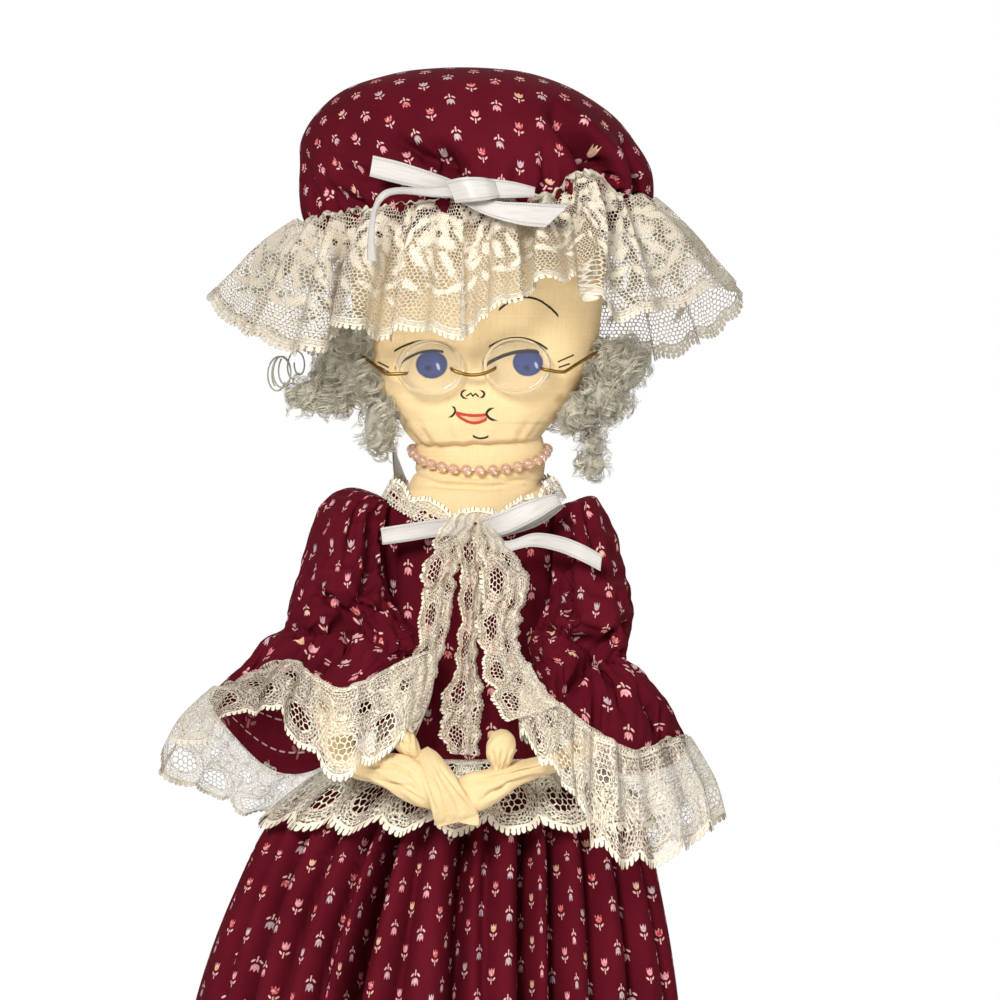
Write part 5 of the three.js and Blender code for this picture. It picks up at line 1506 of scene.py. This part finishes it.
class DOLL_OT_lace(bpy.types.Operator):
    """Lace of the neckline, the front, the sleeve mouths and the waist"""
    bl_idname = "doll.lace"
    bl_label = "Lace"

    def execute(self, context):
        for side, shape in SLEEVES.items():
            self.cuff(side, shape)
        self.collar()
        self.peplum()
        for place, strip in JABOTS.items():
            self.jabot(place, strip)
        return {"FINISHED"}

    def jabot(self, place, strip):
        """Strip of lace from its heading line to its outer line, folded like an accordion between them;
        the height of the folds and where they lie wander along the strip."""
        rows, columns, seed = 44, 240, strip["seed"]
        heading, outer = (spline(drawn(strip[line]), columns) for line in ("heading", "outer"))
        share = np.linspace(0, 1, rows)[:, None]
        grid = heading[None] * (1 - share[..., None]) + outer[None] * share[..., None]
        along = np.linspace(0, TURN, columns)[None, :]
        sway = 0.12 * wander(along, seed, 2, 7)
        pleats = np.abs(np.sin(np.pi * 3.5 * (share + sway * np.sin(np.pi * share))))
        grid[..., 1] -= 2.6 * pleats * (1 + 0.35 * wander(along, seed + 1, 3, 9)) + 0.4
        grid[..., 0] += 0.8 * wander(along, seed + 2, 6, 16) * np.cos(np.pi * share)
        cloth = flat_cloth(grid, False, strip["width"])
        made = piece(f"jabot_lace_{place}", [(grid, False, cloth)], lace_look("Trim lace", strip["width"]),
                     "body", [f"jabot_{place}"])

    def cuff(self, side, shape):
        """Lace from just above the rim of a sleeve to its drawn edge, fluted towards the edge."""
        rim, edge = drawn(shape["rim"]), drawn(shape["edge"])
        above = sleeve_rows(shape["rows"], shape["rim"])[-2]
        centre = rim.mean(0)
        grow = unit(rim - centre)
        heading = rim * 0.92 + above * 0.08 + grow * 1.6
        middle = rim * 0.5 + edge * 0.5 + grow * 3
        rows, columns = 36, 460
        grid = rounded(spline([heading, rim + grow * 1.4, middle, edge], rows), columns)
        t, row = spread(rows, columns)
        seed = 91 if side == "left" else 92
        flutes = 3.4 * wander(t, seed, 7, 18) * row ** 0.7
        frill = 0.8 * wander(t, seed + 2, 40, 70) * np.clip(1 - row / 0.15, 0, 1)
        grid = pushed(grid, flutes + 0.9 * wander(t, seed + 4, 24, 40) * row ** 0.4 + frill)
        width = sizes().cuff_lace
        cloth = flat_cloth(grid, True, width, TRIM_REPEAT)
        made = piece(f"cuff_ruffle_{side}", [(grid, True, cloth)], lace_look("Trim lace", width), "arms",
                     [f"cuff_lace_{side}"])

    def collar(self):
        """Ring of lace that stands on the neckline: its foot dips in front, its edge leans to the neck."""
        rows, columns = 18, 320
        t, down = spread(rows, columns)
        row = 1 - down
        front = np.clip(-np.sin(t), 0, 1) ** 2
        wide, deep = 33.5 - 5.5 * row, 23.6 - 5.5 * row + 1.5 * front
        height = -97 - 13 * front + 9 * row + 1.5 * front * row
        grid = stacked(-1 + wide * np.cos(t), deep * np.sin(t), height)
        grid = pushed(grid, 0.9 * wander(t, 95, 30, 50) * row)
        width = sizes().collar_lace
        cloth = flat_cloth(grid, True, width, TRIM_REPEAT)
        cloth = np.stack([cloth[..., 0], width - cloth[..., 1]], -1)
        made = piece("collar_frill", [(grid, True, cloth)], lace_look("Trim lace", width), "body",
                     ["collar_lace"])

    def peplum(self):
        """Ring of lace that lies over the top of the skirt, fluted towards its edge."""
        rows, columns = 30, 520
        t, row = spread(rows, columns)
        swell = row ** 0.62
        wide, deep = 35.5 + 36.5 * swell, 26 + 19 * swell
        grid = stacked(-2.5 - 4.5 * row + wide * np.cos(t), deep * np.sin(t), -188.5 - 26 * row ** 1.15)
        grid = pushed(grid, 2.0 * wander(t, 97, 14, 30) * row)
        width = sizes().peplum_lace
        cloth = flat_cloth(grid, True, width, TRIM_REPEAT)
        made = piece("peplum_ruffle", [(grid, True, cloth)], lace_look("Waist lace", width),
                     ("body", "skirt", (0, -190), (0, -214)), ["peplum_lace"])


BOWS = {
    "cap_bow_satin": ("head", "cap_bow", [
        [((374, 158, -53), (370.5, 178.6, -52)), ((403, 165, -53), (402, 187, -53)),
         ((436, 176, -53), (430, 193, -54)), ((458, 184, -52), (452, 200, -52))],
        [((466, 186, -54), (462, 200, -54)), ((428, 190, -56), (436, 200, -55)),
         ((396, 191, -58), (402, 197, -56)), ((381, 197, -58), (386, 202, -57)),
         ((373, 214, -58), (378, 216, -57)), ((369, 240, -57), (376, 240, -58)),
         ((368, 262, -56), (378, 264, -57))],
        [((450, 184, -53), (454, 200, -54)), ((478, 181, -55), (478, 201, -56)),
         ((510, 184, -56), (508, 201, -57)), ((535, 190, -55), (534, 200, -55))],
        [((462, 188, -54), (458, 203, -54)), ((492, 203, -57), (486, 218, -58)),
         ((530, 206, -59), (520, 228, -60)), ((568, 208, -58), (545, 230.5, -60))],
        [((447, 184, -57), (456, 206, -57)), ((462, 181, -60), (474, 205, -60.5)),
         ((482, 181, -60), (490, 203, -60)), ((494, 184, -57), (500, 200, -57))]]),
    "neck_bow_satin": ("body", "neck_bow", [
        [((380, 528, -29), (382, 545, -28)), ((405, 524, -30), (405, 542, -29)),
         ((440, 519, -29), (438, 537, -29)), ((472, 517, -28), (470, 536, -28))],
        [((478, 520, -29), (490, 538, -29)), ((500, 512, -31), (510, 533, -31)),
         ((530, 500, -32), (538, 519, -33)), ((553, 494, -31), (559, 506, -32)),
         ((556, 497, -29), (561, 510, -29)), ((530, 508, -27), (536, 527, -27)),
         ((495, 522, -27), (500, 538, -27))]]),
    "neck_bow_tail": (("body", "arms", (12, -113), (103, -113)), "neck_bow", [
        [((488, 528, -30), (484, 542, -30)), ((505, 541, -33), (500, 553, -33)),
         ((534, 533, -36), (530, 547, -36)), ((560, 536, -40), (556, 551, -40.5)),
         ((582, 544, -43), (579, 560, -43.5)), ((602, 555, -43), (600, 571, -44))]])}


class DOLL_OT_ribbons(bpy.types.Operator):
    """Satin bows on the cap and at the neck, and the hanging loop"""
    bl_idname = "doll.ribbons"
    bl_label = "Ribbons"

    def execute(self, context):
        for name, (body, node, strips) in BOWS.items():
            self.bow(name, body, node, strips)
        self.loop()
        return {"FINISHED"}

    def bow(self, name, body, node, strips):
        """Ribbon strips between drawn edge lines; the last strip of the cap's bow is its knot."""
        grids = [ribbon_strip(drawn(edges)) for edges in strips]
        parts = [(grid, False, self.along(grid)) for grid in grids]
        piece(name, parts, satin_look("white"), body, [node], BOW_WALL)

    def along(self, grid):
        """Ribbon coordinates: the first across the ribbon's own width, the second along it."""
        across = np.linspace(0, sizes().ribbon, grid.shape[1])
        return stacked(across[None, :], running(gaps(grid.mean(1), 0))[:, None])

    def loop(self):
        """Ribbon from a tab sewn on the back, up beside the head, round a half circle and down again;
        its width turns from flat on the back to edge on at the top."""
        half, back, points = 31.0, 53.5, 240
        side = np.array([
            (-22, 24.2, -118), (-22.5, 24.6, -108), (-25, 28, -99), (-28.5, 38, -88), (-31, 48, -76),
            (-31, 53.5, -62), (-31, 53.5, -46), (-31, 53.5, -31)])
        turn = np.linspace(math.pi, 0, 13)[1:-1]
        arc = np.stack([half * np.cos(turn), np.full(11, back), -half + half * np.sin(turn)], -1)
        other = side * [-1, 1, 1] - np.outer([0, 3, 8, 11, 9, 4, 0, 0], [1, 0, 0])
        path = spline(np.concatenate([side, arc, other[::-1]]), points)
        twist = [(1, 0, 0), (1, 0, 0), (0.9, 0.4, 0), (0.5, 0.85, 0)]
        untwist = [(-0.5, 0.85, 0), (-0.9, 0.4, 0), (-1, 0, 0), (-1, 0, 0)]
        flat = unit(spline([*twist, *[(0, 1, 0)] * 19, *untwist], points))
        wide = sizes().ribbon / MM
        across = np.linspace(-0.5, 0.5, 7)[:, None]
        grid = path[:, None] + flat[:, None] * across * wide
        made = piece("hang_loop_ribbon", [(grid, False, self.along(grid))], satin_look("loop"), "body",
                     ["hang_loop"], LOOP_WALL)
        route = path * MM + (0, MIDDLE, 0)


def skirt_profile(z):
    """Centre, half width and half depth of the skirt at a height: eased through shares of its length."""
    share = np.clip((SKIRT_TOP - z) / SKIRT_LONG, 0, 1)
    marks = [
        (0, 34, 26), (0.022, 52.5, 31.3), (0.05, 66, 36.5), (0.11, 75.6, 41.2), (0.21, 86, 46.2),
        (0.4, 98.6, 53.6), (0.6, 105, 58), (0.76, 105, 58.5), (0.86, 98, 56), (0.93, 82, 50),
        (0.975, 58, 41.5), (1, 42, 36)]
    at, wide, deep = spline(marks, 160).T
    centre = -3.5 - 18 * (1 - np.exp((z - SKIRT_TOP) / 100))
    return centre, np.interp(share, at, wide), np.interp(share, at, deep)


class DOLL_OT_skirt(bpy.types.Operator):
    """Gathered calico skirt that holds the bags, open at the back and at its mouth, with a ruffle"""
    bl_idname = "doll.skirt"
    bl_label = "Skirt"

    def execute(self, context):
        rows, columns = 118, 410
        z = SKIRT_TOP + 1 - (SKIRT_LONG + 1) * (np.linspace(0, 1, rows) ** 1.05)[:, None]
        x, wide, deep = skirt_profile(z)
        slit_turn = math.radians(SLIT_TURN)
        slit_middle, slit_tall, slit_wide = -287, 66, 17 / 1.15
        opening = slit_wide * np.sqrt(np.clip(1 - ((z - slit_middle) / slit_tall) ** 2, 0, 1)) / deep
        share = np.linspace(0, 1, columns)
        t = slit_turn + opening + share[None, :] * (TURN - 2 * opening)
        grid = stacked(x + wide * np.cos(t), deep * np.sin(t), z)
        grid = pushed(grid, self.folds(t, z), closed=False)
        seam = opening[:, 0] == 0
        grid[seam, -1] = grid[seam, 0]
        cloth = flat_cloth(grid, False) * [1, -1]
        cloth[..., 0] = np.interp((t - slit_turn) / TURN, share, cloth[0, :, 0])
        skirt = piece("skirt_cloth", [(grid, False, cloth)], calico_look(False),
                      ("body", "skirt", (0, -192), (0, -225)),
                      ["skirt_front", "skirt_back", "skirt_waistband"], sizes().cloth_wall, weld=True)
        self.ruffle()
        return {"FINISHED"}

    def folds(self, t, z):
        """Depth of the folds: dips at set turns, narrow and deep, that fade in below the waist;
        fine gathers fade out below the waist and fade in at the mouth."""
        below, left = (SKIRT_TOP - z) / SKIRT_LONG, (z - SKIRT_TOP) / SKIRT_LONG + 1
        dips = [
            (-0.93, 5, 3.2), (-0.8, 11, 2.8), (-0.64, 10, 2.4), (-0.5, 13, 2.2), (-0.385, 34, 2.4),
            (-0.2, 10, 2.6), (0.05, 21, 2.4), (0.2, 9, 2.4), (0.4, 21, 2.2), (0.53, 17, 2.2),
            (0.68, 11, 2.6), (0.83, 11, 2.8), (0.95, 5, 3)]
        places = [(-math.acos(share), depth, width) for share, depth, width in dips]
        behind = [turn for turn in range(8, 176, 13) if abs(turn - SLIT_TURN) > 12]
        places += [(math.radians(turn), 7 + 3 * math.sin(turn), 4) for turn in behind]
        amount = 0
        for turn, depth, width in places:
            away = turn_from(t, turn) + 0.03 * np.sin(z / 47 + 5 * turn)
            amount = amount - depth * bell(away, math.radians(width), 1.4)
        amount = amount * np.clip(below / 0.05, 0, 1) * np.clip(left / 0.22, 0, 1) ** 0.7
        amount = amount + 1.6 * wander(t, 101, 5, 11) * np.clip(below / 0.2, 0, 1) * np.clip(left / 0.2, 0,
                                                                                             1)
        amount = amount + 1.3 * wander(t, 102, 44, 70) * np.exp(-below / 0.05)
        return amount + 1.8 * wander(t, 103, 26, 40) * np.exp(-left / 0.06)

    def ruffle(self):
        """Ruffle below the elastic of the mouth: ovals that flare, with flutes that grow to the hem."""
        rows, columns = 40, 400
        t, row = spread(rows, columns)
        x, _, _ = skirt_profile(np.array(float(SKIRT_TOP - SKIRT_LONG)))
        grid = stacked(x + (40.5 + 17 * row) * np.cos(t), (34.5 + 13 * row) * np.sin(t), -578 - 27 * row)
        flutes = (0.6 + 3.4 * row) * wander(t, 105, 11, 20)
        grid = pushed(grid, flutes + 0.9 * wander(t, 106, 30, 46) * (1 - row))
        cloth = flat_cloth(grid, True)
        ruffle = piece("hem_frill", [(grid, True, cloth)], calico_look(False), "skirt",
                       ["hem_elastic", "hem_ruffle"], sizes().cloth_wall)


class DOLL_OT_stage(bpy.types.Operator):
    """Pale floor, soft lamps, white surround and the camera of the front view"""
    bl_idname = "doll.stage"
    bl_label = "Stage"

    def execute(self, context):
        scene = context.scene
        scene.view_settings.view_transform = "Standard"
        self.floor(scene)
        self.world(scene)
        for name, place, aim, size, power in (
                ("key", (-0.45, -1.65, 0.55), (0, 0, -0.15), 0.5, 32),
                ("fill", (1.0, -1.3, 0.0), (0, 0, -0.2), 1.2, 6),
                ("back", (0.3, 1.4, 0.9), (0, 0, -0.2), 1.2, 8)):
            lamp = bpy.data.lights.new(name, "AREA")
            lamp.size, lamp.energy = size, power
            made = bpy.data.objects.new(name, lamp)
            scene.collection.objects.link(made)
            made.location = place
            away = np.array(aim) - np.array(place)
            tilt = math.acos(-away[2] / np.linalg.norm(away))
            made.rotation_euler = (tilt, 0, math.atan2(-away[0], away[1]))
        self.camera(scene)
        return {"FINISHED"}

    def floor(self, scene):
        """A round pale floor below the doll that glows a little, so that it reads as white."""
        sides, radius, level = 64, 1.4, -0.66
        ring = np.stack([np.cos(angles(sides)), np.sin(angles(sides))], -1) * radius
        mesh = bpy.data.meshes.new("floor")
        mesh.from_pydata([(x, y, level) for x, y in ring], [], [list(range(sides))])
        floor = bpy.data.objects.new("floor", mesh)
        scene.collection.objects.link(floor)
        look, tree, shader = finish(
            "Pale floor", 0.9, Emission_Color=(1.0, 1.0, 1.0, 1.0), Emission_Strength=0.15)
        soft = noise(tree, object_place(tree), 6.0)
        feed(mixed(tree, soft, hexed("F4F4F2"), hexed("FAFAF8")), shader["Base Color"])
        mesh.materials.append(look)

    def world(self, scene):
        """White to the camera, to gloss and through clear pieces; a plain soft light to everything else."""
        world = bpy.data.worlds.new("Soft surround")
        scene.world = world
        world.use_nodes = True
        tree = world.node_tree
        back = tree.nodes["Background"]
        path = tree.nodes.new("ShaderNodeLightPath")
        seen = Flow(tree, path.outputs["Is Camera Ray"])
        for label in ("Is Glossy Ray", "Is Transmission Ray"):
            seen = seen.most(Flow(tree, path.outputs[label]))
        feed(seen * 0.76 + 0.24, back.inputs["Strength"])
        back.inputs["Color"].default_value = (1, 1, 1, 1)

    def camera(self, scene):
        """A long lens straight in front: the drawing's thousand squares fill the frame."""
        lens = bpy.data.cameras.new("front")
        lens.sensor_width, lens.lens = 36.0, 200.0
        lens.clip_end = 20.0
        made = bpy.data.objects.new("front", lens)
        scene.collection.objects.link(made)
        middle = drawn([500, 500, -38]) * MM + (0, MIDDLE, 0)
        made.location = middle - (0, 1000 * STEP * MM * lens.lens / lens.sensor_width, 0)
        made.rotation_euler = (math.pi / 2, 0, 0)
        scene.camera = made


class DOLL_PT_panel(bpy.types.Panel):
    """Lists the doll's pieces and settings"""
    bl_idname = "DOLL_PT_panel"
    bl_label = "Cloth doll"
    bl_space_type = "VIEW_3D"
    bl_region_type = "UI"
    bl_category = "Doll"

    def draw(self, context):
        for step in STEPS:
            self.layout.operator(step.bl_idname)
        for settings in (context.scene.doll_sizes, context.scene.doll_colours):
            for label in settings.bl_rna.properties.keys():
                if label not in ("rna_type", "name"):
                    self.layout.prop(settings, label)


STEPS = (
    DOLL_OT_stage, DOLL_OT_head, DOLL_OT_body, DOLL_OT_cap, DOLL_OT_hair, DOLL_OT_spectacles,
    DOLL_OT_necklace, DOLL_OT_jacket, DOLL_OT_arms, DOLL_OT_lace, DOLL_OT_ribbons, DOLL_OT_skirt)
CLASSES = (DollSizes, DollColours, *STEPS, DOLL_PT_panel)


def register():
    for made in CLASSES:
        bpy.utils.register_class(made)
    bpy.types.Scene.doll_sizes = PointerProperty(type=DollSizes)
    bpy.types.Scene.doll_colours = PointerProperty(type=DollColours)


def unregister():
    del bpy.types.Scene.doll_colours
    del bpy.types.Scene.doll_sizes
    for made in reversed(CLASSES):
        bpy.utils.unregister_class(made)


def main():
    register()
    for step in STEPS:
        group_name, name = step.bl_idname.split(".")
        getattr(getattr(bpy.ops, group_name), name)()


if __name__ == "__main__":
    main()
